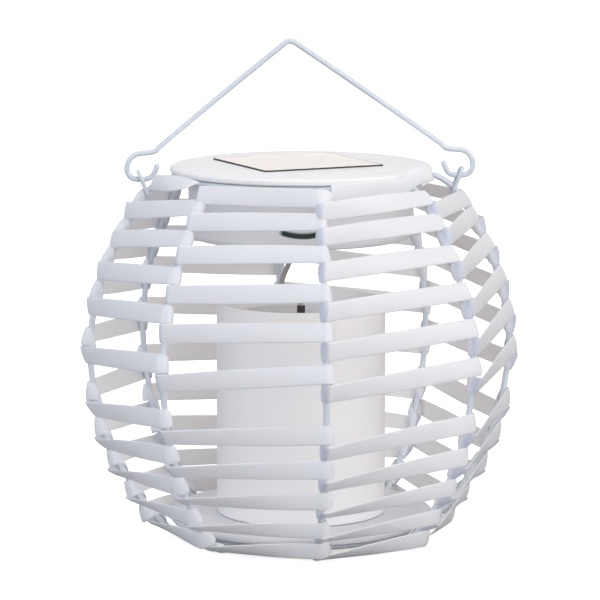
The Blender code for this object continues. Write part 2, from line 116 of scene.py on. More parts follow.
# loose runs round the lid: their width, and places on their middle line with lean and tilt
BAND_W = 8.2
BAND_LEFT = [
    (-70.6, -9.4, 169.9, 0.0, -28.0), (-65.2, -19.5, 170.6, -14.0, -10.0),
    (-59.6, -30.2, 171.4, -44.0, 0.0), (-54.4, -40.6, 172.0, -74.0, 0.0),
]
BAND_RIGHT = [
    (6.3, -65.9, 170.2, 0.0, 0.0), (21.8, -59.5, 170.6, 0.0, 0.0), (35.8, -53.6, 171.0, 0.0, 0.0),
    (41.6, -51.4, 171.6, -3.0, 6.0), (44.9, -50.2, 174.1, -4.0, 18.0), (48.4, -48.2, 175.9, -4.0, 20.0),
    (51.9, -45.2, 176.4, -2.0, 26.0), (54.4, -42.4, 176.5, 0.0, 31.0), (55.0, -40.8, 176.3, 0.0, 31.0),
    (53.8, -39.7, 175.6, 0.0, 31.0), (51.7, -40.6, 174.6, 0.0, 31.0), (49.3, -42.2, 173.6, 0.0, 31.0),
]
# the top course lies differently on its first three ribs: how far down it arrives and leaves, and its leans
TOP_COURSE = {3: (0.0, 7.2, 30.0, 36.0), 4: (2.2, 8.0, 38.0, 38.0), 5: (-0.6, 6.5, 2.0, 12.0)}
# eyelets: distance from the axis and height of both ends, and half their width
EYE_WIRE_R = 0.9
EYE_BOTTOM = (71.6, 161.6)
EYE_TOP = (76.6, 173.9)
EYE_HALF_W = 2.9
BAIL_WIRE_R = 1.3
# one hook of the bail, from the arm round to its open end
HOOK = [
    (66.7, 185.2), (68.2, 183.6), (70.6, 182.8), (76.6, 182.2), (79.9, 180.2), (81.7, 176.6),
    (81.4, 173.2), (79.4, 170.9), (77.0, 170.3), (73.4, 170.3), (70.4, 171.4), (68.6, 174.0),
    (67.4, 177.4),
]
# across and height of the bail's top, the length of its bend there, and how far each arm bows
BAIL_APEX = (-5.2, 235.2)
APEX_BEND = 3.2
ARM_BOW = (0.35, 0.30)
# the lead, from inside the drum down to the candle's stub
LEAD_R = 1.2
LEAD_ROUTE = [
    (0.0, 0.0, 148.0), (0.0, 0.0, 142.0), (-1.6, 0.0, 137.2), (-5.4, 0.0, 130.0),
    (-8.6, 0.0, 122.6), (-9.4, 0.0, 117.4), (-7.2, 0.0, 113.9), (-2.6, 0.0, 113.4),
    (-0.2, 0.0, 111.2), (0.0, 0.0, 108.2), (0.0, 0.0, 104.6),
]
# the solar panel: its side, how far it is off the middle of the lid, and how far it is turned
PANEL_SIDE = 60.2
PANEL_X = -1.7
PANEL_TURN = 18.8
# under the drum: half sizes of the openings for the battery door and the switch, and the round holes
DOOR_Y = 20.0
DOOR_OPENING = (28.0, 8.6)
SCREW_X = 31.5
SCREW_HOLE_R = 1.5
SWITCH_AT = (27.0, -14.0)
SWITCH_OPENING = (4.4, 2.2)
LEAD_HOLE_R = 2.6
DRUM_FLOOR = (141.4, 145.2)
# how far the ground lies below the lowest point of the frame
FLOOR_DROP = 0.02

# ---------------------------------------------------------------- camera and light
CAMERA_TURN = -6.5
CAMERA_LIFT = 8.8
CAMERA_DISTANCE = 1.4805
CAMERA_AIM = Vector((0.0, 0.0, 0.1118))
CAMERA_LENS = 187.8
# each panel of light: place, aim, width, height, power and colour
PANELS = {
    "key_panel": ((1.7, -1.1, 1.0), (0, 0, 0.10), 1.1, 1.1, 7.5, (1.0, 0.95, 0.90)),
    "front_panel": ((0.55, -2.1, 0.75), (0, 0, 0.10), 1.5, 1.1, 20.0, (1.0, 0.985, 0.985)),
    "left_panel": ((-2.1, -0.2, 0.8), (0, 0, 0.10), 1.3, 1.1, 12.0, (0.88, 0.94, 1.0)),
    "top_panel": ((0.1, 0.2, 2.2), (0, 0, 0.0), 2.0, 2.0, 11.0, (1.0, 0.99, 0.98)),
    "low_back_panel": ((-0.25, 2.2, 0.62), (0, 0, 0.17), 1.8, 0.7, 3.0, (1.0, 0.91, 0.83)),
}
# panels whose light goes through the thin strip
THROUGH_STRIP = ("key_panel", "front_panel", "left_panel")


def place_camera():
    """Long lens from nearly straight ahead, looking a little down."""
    data = bpy.data.cameras.new("lantern_camera")
    data.lens = CAMERA_LENS
    data.sensor_width = 36.0
    data.shift_x = -0.0017
    data.clip_end = 60.0
    camera = bpy.data.objects.new("lantern_camera", data)
    bpy.context.scene.collection.objects.link(camera)
    turn, lift = math.radians(CAMERA_TURN), math.radians(CAMERA_LIFT)
    back = Vector((math.sin(turn) * math.cos(lift), -math.cos(turn) * math.cos(lift), math.sin(lift)))
    camera.location = CAMERA_AIM + back * CAMERA_DISTANCE
    camera.rotation_mode = "QUATERNION"
    camera.rotation_quaternion = (-back).to_track_quat("-Z", "Y")
    bpy.context.scene.camera = camera
    bpy.context.scene.view_settings.view_transform = "Standard"


def soft_light(name, place, aim, width, height, power, colour):
    """A large soft panel of light, unseen itself."""
    data = bpy.data.lights.new(name, "AREA")
    data.shape = "RECTANGLE"
    data.size = width
    data.size_y = height
    data.energy = power
    data.color = colour
    obj = bpy.data.objects.new(name, data)
    obj.location = place
    obj.rotation_euler = (Vector(aim) - Vector(place)).to_track_quat("-Z", "Y").to_euler()
    obj.visible_camera = False
    bpy.context.scene.collection.objects.link(obj)
    return obj


place_camera()
panels = {name: soft_light(name, *values) for name, values in PANELS.items()}


# ---------------------------------------------------------------- small helpers for node trees
def new_tree(name, kind, inputs, outputs):
    """A node group with named sockets; returns it with its input and output nodes."""
    tree = bpy.data.node_groups.new(name, kind)
    for label, socket_type, value in inputs:
        socket = tree.interface.new_socket(name=label, in_out="INPUT", socket_type=socket_type)
        if value is not None:
            socket.default_value = value
    for label, socket_type in outputs:
        tree.interface.new_socket(name=label, in_out="OUTPUT", socket_type=socket_type)
    return tree, tree.nodes.new("NodeGroupInput"), tree.nodes.new("NodeGroupOutput")


def feed(tree, socket, value):
    """Link another socket to this one, or set its value."""
    if isinstance(value, bpy.types.NodeSocket):
        tree.links.new(value, socket)
    else:
        socket.default_value = value


def calc(tree, operation, *values):
    """One sum on numbers, from sockets or plain values."""
    node = tree.nodes.new("ShaderNodeMath")
    node.operation = operation
    for socket, value in zip(node.inputs, values):
        feed(tree, socket, value)
    return node.outputs[0]


def vector_calc(tree, operation, *values):
    """One sum on vectors."""
    node = tree.nodes.new("ShaderNodeVectorMath")
    node.operation = operation
    for socket, value in zip(node.inputs, values):
        feed(tree, socket, value)
    return node.outputs[0]


def scaled(tree, vector, factor):
    """A vector times a number."""
    node = tree.nodes.new("ShaderNodeVectorMath")
    node.operation = "SCALE"
    feed(tree, node.inputs[0], vector)
    feed(tree, node.inputs["Scale"], factor)
    return node.outputs[0]


def split_xyz(tree, vector):
    node = tree.nodes.new("ShaderNodeSeparateXYZ")
    feed(tree, node.inputs[0], vector)
    return node.outputs


def noise(tree, vector, scale, detail=2.0, roughness=0.5):
    node = tree.nodes.new("ShaderNodeTexNoise")
    feed(tree, node.inputs["Vector"], vector)
    feed(tree, node.inputs["Scale"], scale)
    feed(tree, node.inputs["Detail"], detail)
    feed(tree, node.inputs["Roughness"], roughness)
    return node.outputs["Fac"]


def spread(tree, value, low, high):
    """Share of the way from low to high, kept between 0 and 1."""
    node = tree.nodes.new("ShaderNodeMapRange")
    feed(tree, node.inputs["Value"], value)
    feed(tree, node.inputs["From Min"], low)
    feed(tree, node.inputs["From Max"], high)
    return node.outputs[0]


def mixed(tree, factor, first, second):
    """Mix two colours."""
    node = tree.nodes.new("ShaderNodeMix")
    node.data_type = "RGBA"
    feed(tree, node.inputs[0], factor)
    feed(tree, node.inputs[6], first)
    feed(tree, node.inputs[7], second)
    return node.outputs[2]


def make_surround():
    """Even studio light all round, a little cooler and dimmer on the left."""
    world = bpy.data.worlds.new("studio")
    world.use_nodes = True
    tree = world.node_tree
    direction = split_xyz(tree, tree.nodes.new("ShaderNodeTexCoord").outputs["Generated"])
    share = spread(tree, direction["X"], -0.8, 0.8)
    feed(tree, tree.nodes["Background"].inputs["Color"],
         mixed(tree, share, (0.80, 0.855, 0.96, 1.0), (0.98, 0.945, 0.93, 1.0)))
    tree.nodes["Background"].inputs["Strength"].default_value = 0.64
    bpy.context.scene.world = world


make_surround()


# ---------------------------------------------------------------- shared effects for the finishes
def make_tone_drift():
    """Slow change of tone over a moulded or coated surface."""
    tree, given, result = new_tree("tone_drift", "ShaderNodeTree", [
        ("Place", "NodeSocketVector", None), ("Tone", "NodeSocketColor", (0.8, 0.8, 0.8, 1.0)),
        ("Second Tone", "NodeSocketColor", (0.7, 0.7, 0.7, 1.0)), ("Patch Scale", "NodeSocketFloat", 25.0),
        ("Amount", "NodeSocketFloat", 0.5)], [("Tone", "NodeSocketColor"), ("Patch", "NodeSocketFloat")])
    patch = noise(tree, given.outputs["Place"], given.outputs["Patch Scale"], 3.0, 0.55)
    patch = spread(tree, patch, 0.32, 0.68)
    share = calc(tree, "MULTIPLY", patch, given.outputs["Amount"])
    feed(tree, result.inputs["Tone"], mixed(tree, share, given.outputs["Tone"], given.outputs["Second Tone"]))
    feed(tree, result.inputs["Patch"], patch)
    return tree


def make_fine_grain():
    """Fine texture of a surface: height for a bump and a small change of roughness."""
    tree, given, result = new_tree("fine_grain", "ShaderNodeTree", [
        ("Place", "NodeSocketVector", None), ("Grain Scale", "NodeSocketFloat", 900.0),
        ("Roughness", "NodeSocketFloat", 0.4), ("Roughness Swing", "NodeSocketFloat", 0.08)],
        [("Height", "NodeSocketFloat"), ("Roughness", "NodeSocketFloat")])
    do = partial(calc, tree)
    fine = noise(tree, given.outputs["Place"], given.outputs["Grain Scale"], 2.0, 0.6)
    coarse = noise(tree, given.outputs["Place"], do("MULTIPLY", given.outputs["Grain Scale"], 0.13), 2.0)
    height = do("ADD", do("MULTIPLY", fine, 0.6), do("MULTIPLY", coarse, 0.4))
    swing = do("MULTIPLY", do("SUBTRACT", coarse, 0.5), given.outputs["Roughness Swing"])
    feed(tree, result.inputs["Height"], height)
    feed(tree, result.inputs["Roughness"], do("ADD", given.outputs["Roughness"], do("MULTIPLY", swing, 4.0)))
    return tree


def make_settled_dust():
    """Thin dust on what faces up, patchy."""
    tree, given, result = new_tree("settled_dust", "ShaderNodeTree", [
        ("Place", "NodeSocketVector", None), ("Tone", "NodeSocketColor", (0.8, 0.8, 0.8, 1.0)),
        ("Dust Tone", "NodeSocketColor", (0.55, 0.5, 0.45, 1.0)), ("Amount", "NodeSocketFloat", 0.1)],
        [("Tone", "NodeSocketColor"), ("Dust", "NodeSocketFloat")])
    facing = split_xyz(tree, tree.nodes.new("ShaderNodeNewGeometry").outputs["Normal"])
    upward = spread(tree, facing["Z"], 0.25, 0.95)
    patch = spread(tree, noise(tree, given.outputs["Place"], 120.0, 4.0, 0.65), 0.40, 0.66)
    dust = calc(tree, "MULTIPLY", calc(tree, "MULTIPLY", upward, patch), given.outputs["Amount"])
    feed(tree, result.inputs["Tone"], mixed(tree, dust, given.outputs["Tone"], given.outputs["Dust Tone"]))
    feed(tree, result.inputs["Dust"], dust)
    return tree


TONE_DRIFT = make_tone_drift()
FINE_GRAIN = make_fine_grain()
SETTLED_DUST = make_settled_dust()


def place_effect(tree, group, **values):
    """Put a shared effect in a material, with its own values."""
    node = tree.nodes.new("ShaderNodeGroup")
    node.node_tree = group
    for label, value in values.items():
        feed(tree, node.inputs[label.replace("_", " ")], value)
    return node


def finish(name, tone, second, drift=0.5, patch=25.0, roughness=0.4, swing=0.06, grain=900.0, bump=0.05,
           bump_depth=0.0002, dust=0.08, metallic=0.0, coat=0.0):
    """A plain finish with the shared effects; returns the material and the parts that a finish may change."""
    material = bpy.data.materials.new(name)
    material.use_nodes = True
    tree = material.node_tree
    shader = tree.nodes["Principled BSDF"]
    place = tree.nodes.new("ShaderNodeTexCoord").outputs["Object"]
    drift_node = place_effect(tree, TONE_DRIFT, Place=place, Tone=(*tone, 1.0), Second_Tone=(*second, 1.0),
                              Patch_Scale=patch, Amount=drift)
    dust_node = place_effect(tree, SETTLED_DUST, Place=place, Tone=drift_node.outputs["Tone"], Amount=dust)
    grain_node = place_effect(tree, FINE_GRAIN, Place=place, Grain_Scale=grain, Roughness=roughness,
                              Roughness_Swing=swing)
    bump_node = tree.nodes.new("ShaderNodeBump")
    bump_node.inputs["Strength"].default_value = bump
    bump_node.inputs["Distance"].default_value = bump_depth
    feed(tree, bump_node.inputs["Height"], grain_node.outputs["Height"])
    feed(tree, shader.inputs["Base Color"], dust_node.outputs["Tone"])
    feed(tree, shader.inputs["Roughness"], grain_node.outputs["Roughness"])
    feed(tree, shader.inputs["Normal"], bump_node.outputs["Normal"])
    shader.inputs["Metallic"].default_value = metallic
    shader.inputs["Coat Weight"].default_value = coat
    return {"material": material, "tree": tree, "shader": shader, "place": place, "bump": bump_node,
            "grain": grain_node, "dust": dust_node}


def let_light_in(made, weight, radius):
    """Light that enters the plastic and comes out close by."""
    made["shader"].inputs["Subsurface Weight"].default_value = weight
    made["shader"].inputs["Subsurface Radius"].default_value = radius
    made["shader"].inputs["Subsurface Scale"].default_value = 1.0


# ---------------------------------------------------------------- finishes
coated_wire = finish("coated_wire", (0.68, 0.735, 0.79), (0.60, 0.67, 0.745), patch=60.0, roughness=0.34,
                     grain=700.0, bump=0.18, bump_depth=0.0003, dust=0.06, coat=0.15)["material"]


def make_flat_strip():
    """Lengthwise drawing lines, painted warm bounce light on the inner face, darker edges and painted shade
    in the folds.
    """
    made = finish("flat_strip", (0.84, 0.855, 0.89), (0.78, 0.80, 0.85), drift=0.55, patch=22.0,
                  roughness=0.40, grain=500.0, bump=0.35, bump_depth=0.00012, dust=0.05)
    tree = made["tree"]
    do = partial(calc, tree)

    def read(label):
        node = tree.nodes.new("ShaderNodeAttribute")
        node.attribute_name = label
        return node.outputs["Fac"]

    across, along, inner, fold_shade = (read("strip_" + label) for label in ("u", "along", "inner", "fold_shade"))
    drawn = tree.nodes.new("ShaderNodeCombineXYZ")
    feed(tree, drawn.inputs[0], do("MULTIPLY", across, 9.0))
    feed(tree, drawn.inputs[1], do("MULTIPLY", along, 14.0))
    feed(tree, drawn.inputs[2], do("MULTIPLY", inner, 3.0))
    lines = noise(tree, drawn.outputs[0], 1.0, 3.0, 0.6)
    height = do("ADD", do("MULTIPLY", lines, 0.9), do("MULTIPLY", made["grain"].outputs["Height"], 0.25))
    feed(tree, made["bump"].inputs["Height"], height)
    edge = spread(tree, do("ABSOLUTE", across), 0.86, 1.0)
    streak = spread(tree, lines, 0.35, 0.65)
    tone = made["dust"].outputs["Tone"]
    # painted light in the strip's colour: the warm beige on the inner face is painted bounce light, and the
    # blue-grey in the folds is painted shade; the edges and the drawing streaks turn a little darker
    for mask, amount, second in (
            (inner, 0.85, (0.93, 0.87, 0.83, 1.0)), (edge, 0.16, (0.50, 0.52, 0.58, 1.0)),
            (fold_shade, 0.75, (0.48, 0.53, 0.69, 1.0)), (streak, 0.05, (0.62, 0.64, 0.70, 1.0))):
        tone = mixed(tree, do("MULTIPLY", mask, amount), tone, second)
    feed(tree, made["shader"].inputs["Base Color"], tone)
    let_light_in(made, 0.65, (0.0032, 0.0030, 0.0029))
    return made["material"]


def make_lid_plastic():
    """Matt white moulding that mirrors little of the studio at a flat angle."""
    made = finish("lid_plastic", (0.88, 0.872, 0.868), (0.84, 0.83, 0.83), patch=30.0, roughness=0.52,
                  grain=1400.0, bump=0.10, dust=0.10)
    made["shader"].inputs["Specular IOR Level"].default_value = 0.2
    return made["material"]


def make_housing_plastic():
    """Milky drum wall; the green board behind it darkens it near the foot."""
    made = finish("housing_plastic", (0.76, 0.765, 0.79), (0.71, 0.715, 0.74), patch=30.0, roughness=0.34,
                  grain=1100.0, bump=0.05, dust=0.0)
    tree = made["tree"]
    do = partial(calc, tree)
    place = split_xyz(tree, made["place"])
    across = do("MINIMUM", spread(tree, place["X"], -0.0162, -0.0142),
                spread(tree, place["X"], 0.0062, 0.0042))
    off_middle = do("ABSOLUTE", do("ADD", place["X"], 0.005))
    foot = do("ADD", 0.1476, do("MULTIPLY", 17.0, do("POWER", off_middle, 2.0)))
    height = do("SUBTRACT", place["Z"], foot)
    up = do("MINIMUM", spread(tree, height, 0.0, 0.0006), spread(tree, height, 0.0036, 0.0024))
    front = do("LESS_THAN", place["Y"], -0.03)
    shade = do("MULTIPLY", do("MULTIPLY", across, up), front)
    feed(tree, made["shader"].inputs["Base Color"],
         mixed(tree, shade, made["dust"].outputs["Tone"], (0.006, 0.026, 0.021, 1.0)))
    let_light_in(made, 0.2, (0.002, 0.002, 0.002))
    return made["material"]


def make_opal_plastic():
    """Milky candle wall."""
    made = finish("opal_plastic", (0.92, 0.90, 0.90), (0.88, 0.86, 0.865), patch=14.0, roughness=0.46,
                  grain=420.0, bump=0.10, dust=0.06)
    let_light_in(made, 0.25, (0.004, 0.003, 0.0025))
    return made["material"]


def make_led_resin():
    """Clear, slightly yellow resin."""
    made = finish("led_lens", (0.90, 0.86, 0.70), (0.86, 0.80, 0.60), patch=200.0, roughness=0.12,
                  grain=800.0, bump=0.03, dust=0.0)
    made["shader"].inputs["Transmission Weight"].default_value = 0.6
    return made["material"]


flat_strip = make_flat_strip()
lid_plastic = make_lid_plastic()
housing_plastic = make_housing_plastic()
opal_plastic = make_opal_plastic()
led_resin = make_led_resin()
plate_plastic = finish("plate_plastic", (0.72, 0.73, 0.76), (0.66, 0.67, 0.71), patch=30.0, roughness=0.42,
                       grain=1200.0, bump=0.10, dust=0.16)["material"]
door_plastic = finish("door_plastic", (0.74, 0.74, 0.75), (0.68, 0.68, 0.70), patch=40.0, roughness=0.45,
                      grain=1500.0, bump=0.12)["material"]
board_green = finish("board_green", (0.012, 0.085, 0.062), (0.008, 0.055, 0.045), patch=140.0, roughness=0.35,
                     grain=1600.0, bump=0.06, coat=0.3)["material"]
battery_sleeve = finish("battery_sleeve", (0.10, 0.30, 0.16), (0.08, 0.25, 0.13), patch=60.0, roughness=0.30,
                        grain=900.0, bump=0.04, coat=0.3)["material"]
plated_steel = finish("plated_steel", (0.66, 0.66, 0.655), (0.50, 0.50, 0.50), patch=180.0, roughness=0.26,
                      grain=1500.0, bump=0.12, metallic=1.0, dust=0.03)["material"]
black_rubber = finish("black_rubber", (0.028, 0.027, 0.028), (0.05, 0.048, 0.047), patch=150.0,
                      roughness=0.58, grain=1800.0, bump=0.2)["material"]
lead_sheath = finish("lead_sheath", (0.44, 0.40, 0.40), (0.37, 0.34, 0.34), patch=120.0, roughness=0.45,
                     grain=1500.0, bump=0.12)["material"]


def make_solar_cell():
    """Dark silicon in facets, with thin printed fingers and two bars."""
    made = finish("solar_cell", (0.012, 0.016, 0.040), (0.020, 0.030, 0.075), drift=1.0, patch=90.0,
                  roughness=0.24, grain=600.0, bump=0.03, dust=0.0)
    tree = made["tree"]
    turned = tree.nodes.new("ShaderNodeMapping")
    turned.vector_type = "TEXTURE"
    turned.inputs["Location"].default_value = (PANEL_X * MM, 0.0, 0.0)
    turned.inputs["Rotation"].default_value = (0.0, 0.0, math.radians(PANEL_TURN))
    feed(tree, turned.inputs["Vector"], made["place"])
    place = split_xyz(tree, turned.outputs[0])
    facets = tree.nodes.new("ShaderNodeTexVoronoi")
    facets.inputs["Scale"].default_value = 260.0
    feed(tree, facets.inputs["Vector"], turned.outputs[0])
    facet_split = tree.nodes.new("ShaderNodeSeparateColor")
    feed(tree, facet_split.inputs[0], facets.outputs["Color"])
    tone = mixed(tree, calc(tree, "MULTIPLY", facet_split.outputs[0], 0.6), made["dust"].outputs["Tone"],
                 (0.035, 0.05, 0.12, 1.0))

    def stripes(coordinate, step, width):
        phase = calc(tree, "FRACT", calc(tree, "DIVIDE", calc(tree, "ADD", coordinate, 1.0), step))
        return calc(tree, "LESS_THAN", phase, width / step)

    fingers = stripes(place["X"], 0.00215, 0.00022)
    bars = stripes(place["Y"], 0.0200, 0.0013)
    gaps = stripes(calc(tree, "ADD", place["X"], 0.0074), 0.0150, 0.0007)
    print_mask = calc(tree, "MAXIMUM", fingers, bars)
    tone = mixed(tree, calc(tree, "MULTIPLY", print_mask, 0.75), tone, (0.45, 0.46, 0.47, 1.0))
    tone = mixed(tree, gaps, tone, (0.02, 0.02, 0.022, 1.0))
    feed(tree, made["shader"].inputs["Base Color"], tone)
    return made["material"]


solar_cell = make_solar_cell()


def make_clear_cover():
    """Clear cast cover over the cells, slightly dusty and rubbed."""
    made = finish("clear_cover", (0.95, 0.93, 0.90), (0.90, 0.88, 0.85), patch=40.0, roughness=0.05,
                  swing=0.02, grain=260.0, bump=0.02, dust=0.5)
    made["shader"].inputs["Transmission Weight"].default_value = 0.92
    made["shader"].inputs["IOR"].default_value = 1.53
    return made["material"]


clear_cover = make_clear_cover()


# ---------------------------------------------------------------- mesh helpers
def mesh_object(name, verts, faces, material, edges=(), smooth=True):
    """A new object from places in millimetres."""
    mesh = bpy.data.meshes.new(name)
    mesh.from_pydata([Vector(v) * MM for v in verts], list(edges), faces)
    for polygon in mesh.polygons:
        polygon.use_smooth = smooth
    if material is not None:
        mesh.materials.append(material)
    obj = bpy.data.objects.new(name, mesh)
    bpy.context.scene.collection.objects.link(obj)
    return obj


def settled(obj):
    """Turn a finished object with modifiers into a plain mesh with nothing live on it."""
    bpy.context.view_layer.update()
    graph = bpy.context.evaluated_depsgraph_get()
    mesh = bpy.data.meshes.new_from_object(obj.evaluated_get(graph))
    mesh.name = obj.name
    obj.modifiers.clear()
    obj.data = mesh
    turned_out(mesh)
    return obj


def turned_out(mesh):
    """Faces point outwards on a closed body."""
    bm = bmesh.new()
    bm.from_mesh(mesh)
    if bm.calc_volume(signed=True) < 0:
        bmesh.ops.reverse_faces(bm, faces=bm.faces)
        bm.to_mesh(mesh)
    bm.free()


def installed(obj, body, slot, *nodes):
    """Let a finished piece ride its body, and stand in for the nodes that it shows."""
    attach(obj, body)
    if nodes:
        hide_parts(*nodes)
    return obj


def smooth_path(points, per_span):
    """A curve through all the points, read at even steps of each span."""
    pts = [Vector(p) for p in points]
    ends = [pts[0] * 2 - pts[1]] + pts + [pts[-1] * 2 - pts[-2]]
    out = []
    for i in range(1, len(ends) - 2):
        p0, p1, p2, p3 = ends[i - 1:i + 3]
        for k in range(per_span):
            t = k / per_span
            out.append(0.5 * (2 * p1 + (p2 - p0) * t + (2 * p0 - 5 * p1 + 4 * p2 - p3) * t * t
                              + (3 * p1 - p0 - 3 * p2 + p3) * t ** 3))
    out.append(pts[-1])
    return out


def lengths_along(points):
    """Length of the path from its start to each point."""
    total = [0.0]
    for a, b in zip(points, points[1:]):
        total.append(total[-1] + (b - a).length)
    return total


def read_at(points, lengths, s):
    """The place at a length along the path."""
    s = min(max(s, 0.0), lengths[-1])
    for i in range(len(lengths) - 1):
        if lengths[i + 1] >= s:
            t = (s - lengths[i]) / max(lengths[i + 1] - lengths[i], 1e-9)
            return points[i].lerp(points[i + 1], t)
    return points[-1].copy()


def softened(outline, radius, steps=4, closed=False):
    """Round the corners of an outline of (radius, height), with a holding point beside each."""
    pts = [Vector((r, z)) for r, z in outline]
    out = []
    count = len(pts)
    for i, here in enumerate(pts):
        if not closed and i in (0, count - 1):
            out.append(here)
            continue
        before, after = pts[i - 1] - here, pts[(i + 1) % count] - here
        reach = min(radius, before.length * 0.42, after.length * 0.42)
        if before.normalized().dot(after.normalized()) < -0.985:
            out.append(here)
            continue
        a, b = here + before.normalized() * reach, here + after.normalized() * reach
        out.append(here + before.normalized() * reach * 1.15)
        for k in range(steps + 1):
            t = k / steps
            out.append(a * (1 - t) ** 2 + here * 2 * t * (1 - t) + b * t ** 2)
        out.append(here + after.normalized() * reach * 1.15)
    return [(p.x, p.y) for p in out]


def loft(name, loops, material, closed=False):
    """Skin over loops of the same number of points; a single point closes the end."""
    verts, rows = [], []
    count = max(len(loop) for loop in loops)
    for loop in loops:
        if len(loop) == 1:
            rows.append([len(verts)] * count)
        else:
            rows.append(list(range(len(verts), len(verts) + count)))
        verts.extend(loop)
    faces = []
    for j in range(len(rows) if closed else len(rows) - 1):
        lower, upper = rows[j], rows[(j + 1) % len(rows)]
        for i in range(count):
            k = (i + 1) % count
            corners = []
            for index in (lower[i], lower[k], upper[k], upper[i]):
                if index not in corners:
                    corners.append(index)
            if len(corners) > 2:
                faces.append(corners)
    obj = mesh_object(name, verts, faces, material)
    turned_out(obj.data)
    return obj


def round_loop(radius, height, steps, centre=(0.0, 0.0)):
    """Points round a circle, or the single point on its axis."""
    if radius < 1e-6:
        return [(centre[0], centre[1], height)]
    return [(centre[0] + radius * math.cos(2 * math.pi * i / steps),
             centre[1] + radius * math.sin(2 * math.pi * i / steps), height) for i in range(steps)]


def turned(name, outline, material, steps, radius):
    """A turned body from an outline that starts and ends on the axis, or that closes on itself."""
    closed = outline[0][0] > 1e-6
    soft = softened(outline, radius, closed=closed)
    return loft(name, [round_loop(r, z, steps) for r, z in soft], material, closed)


def square_loop(half, height, steps, corner, centre_x, turn):
    """A square with rounded corners, read at even angles so that it matches a round loop."""
    loop = []
    for i in range(steps):
        a = 2 * math.pi * i / steps - math.radians(turn)
        c, s = math.cos(a), math.sin(a)
        reach = half / max(abs(c), abs(s))
        x, y = c * reach, s * reach
        inner = half - corner
        if abs(x) > inner and abs(y) > inner:
            cx, cy = math.copysign(inner, x), math.copysign(inner, y)
            away = Vector((x - cx, y - cy))
            away.normalize()
            x, y = cx + away.x * corner, cy + away.y * corner
        t = math.radians(turn)
        loop.append((centre_x + x * math.cos(t) - y * math.sin(t), x * math.sin(t) + y * math.cos(t), height))
    return loop


def cut_square(obj, middle, half, heights):
    """Cut a box-shaped opening."""
    (x, y), (half_x, half_y) = middle, half
    verts = [(across, along, z) for z in heights for along in (y - half_y, y + half_y)
             for across in (x - half_x, x + half_x)]
    faces = [(0, 2, 3, 1), (4, 5, 7, 6), (0, 1, 5, 4), (2, 6, 7, 3), (0, 4, 6, 2), (1, 3, 7, 5)]
    cut_by(obj, mesh_object("cutter", verts, faces, None, smooth=False))


def cut_round(obj, middle, radius, heights):
    """Cut a round hole."""
    low, high = heights
    cut_by(obj, loft("cutter", [round_loop(r, z, 48, middle) for r, z in
                                ((0, low), (radius, low), (radius, high), (0, high))], None))


def cut_by(obj, tool):
    modifier = obj.modifiers.new("cut", "BOOLEAN")
    modifier.operation = "DIFFERENCE"
    modifier.solver = "EXACT"
    modifier.object = tool
    settled(obj)
    bpy.data.objects.remove(tool, do_unlink=True)


def edges_kept(obj, degrees=28.0):
    """Crisp shading over edges that turn by more than this."""
    obj.data.set_sharp_from_angle(angle=math.radians(degrees))
    return obj


# ---------------------------------------------------------------- geometry nodes: strip, wire and welds
def close_tree(tree, geometry, finish_given, socket):
    """Every tree here ends with smooth shading, real geometry and the finish."""
    for kind in ("GeometryNodeSetShadeSmooth", "GeometryNodeRealizeInstances", "GeometryNodeSetMaterial"):
        node = tree.nodes.new(kind)
        feed(tree, node.inputs["Geometry"], geometry)
        geometry = node.outputs[0]
    feed(tree, node.inputs["Material"], finish_given)
    feed(tree, socket, geometry)


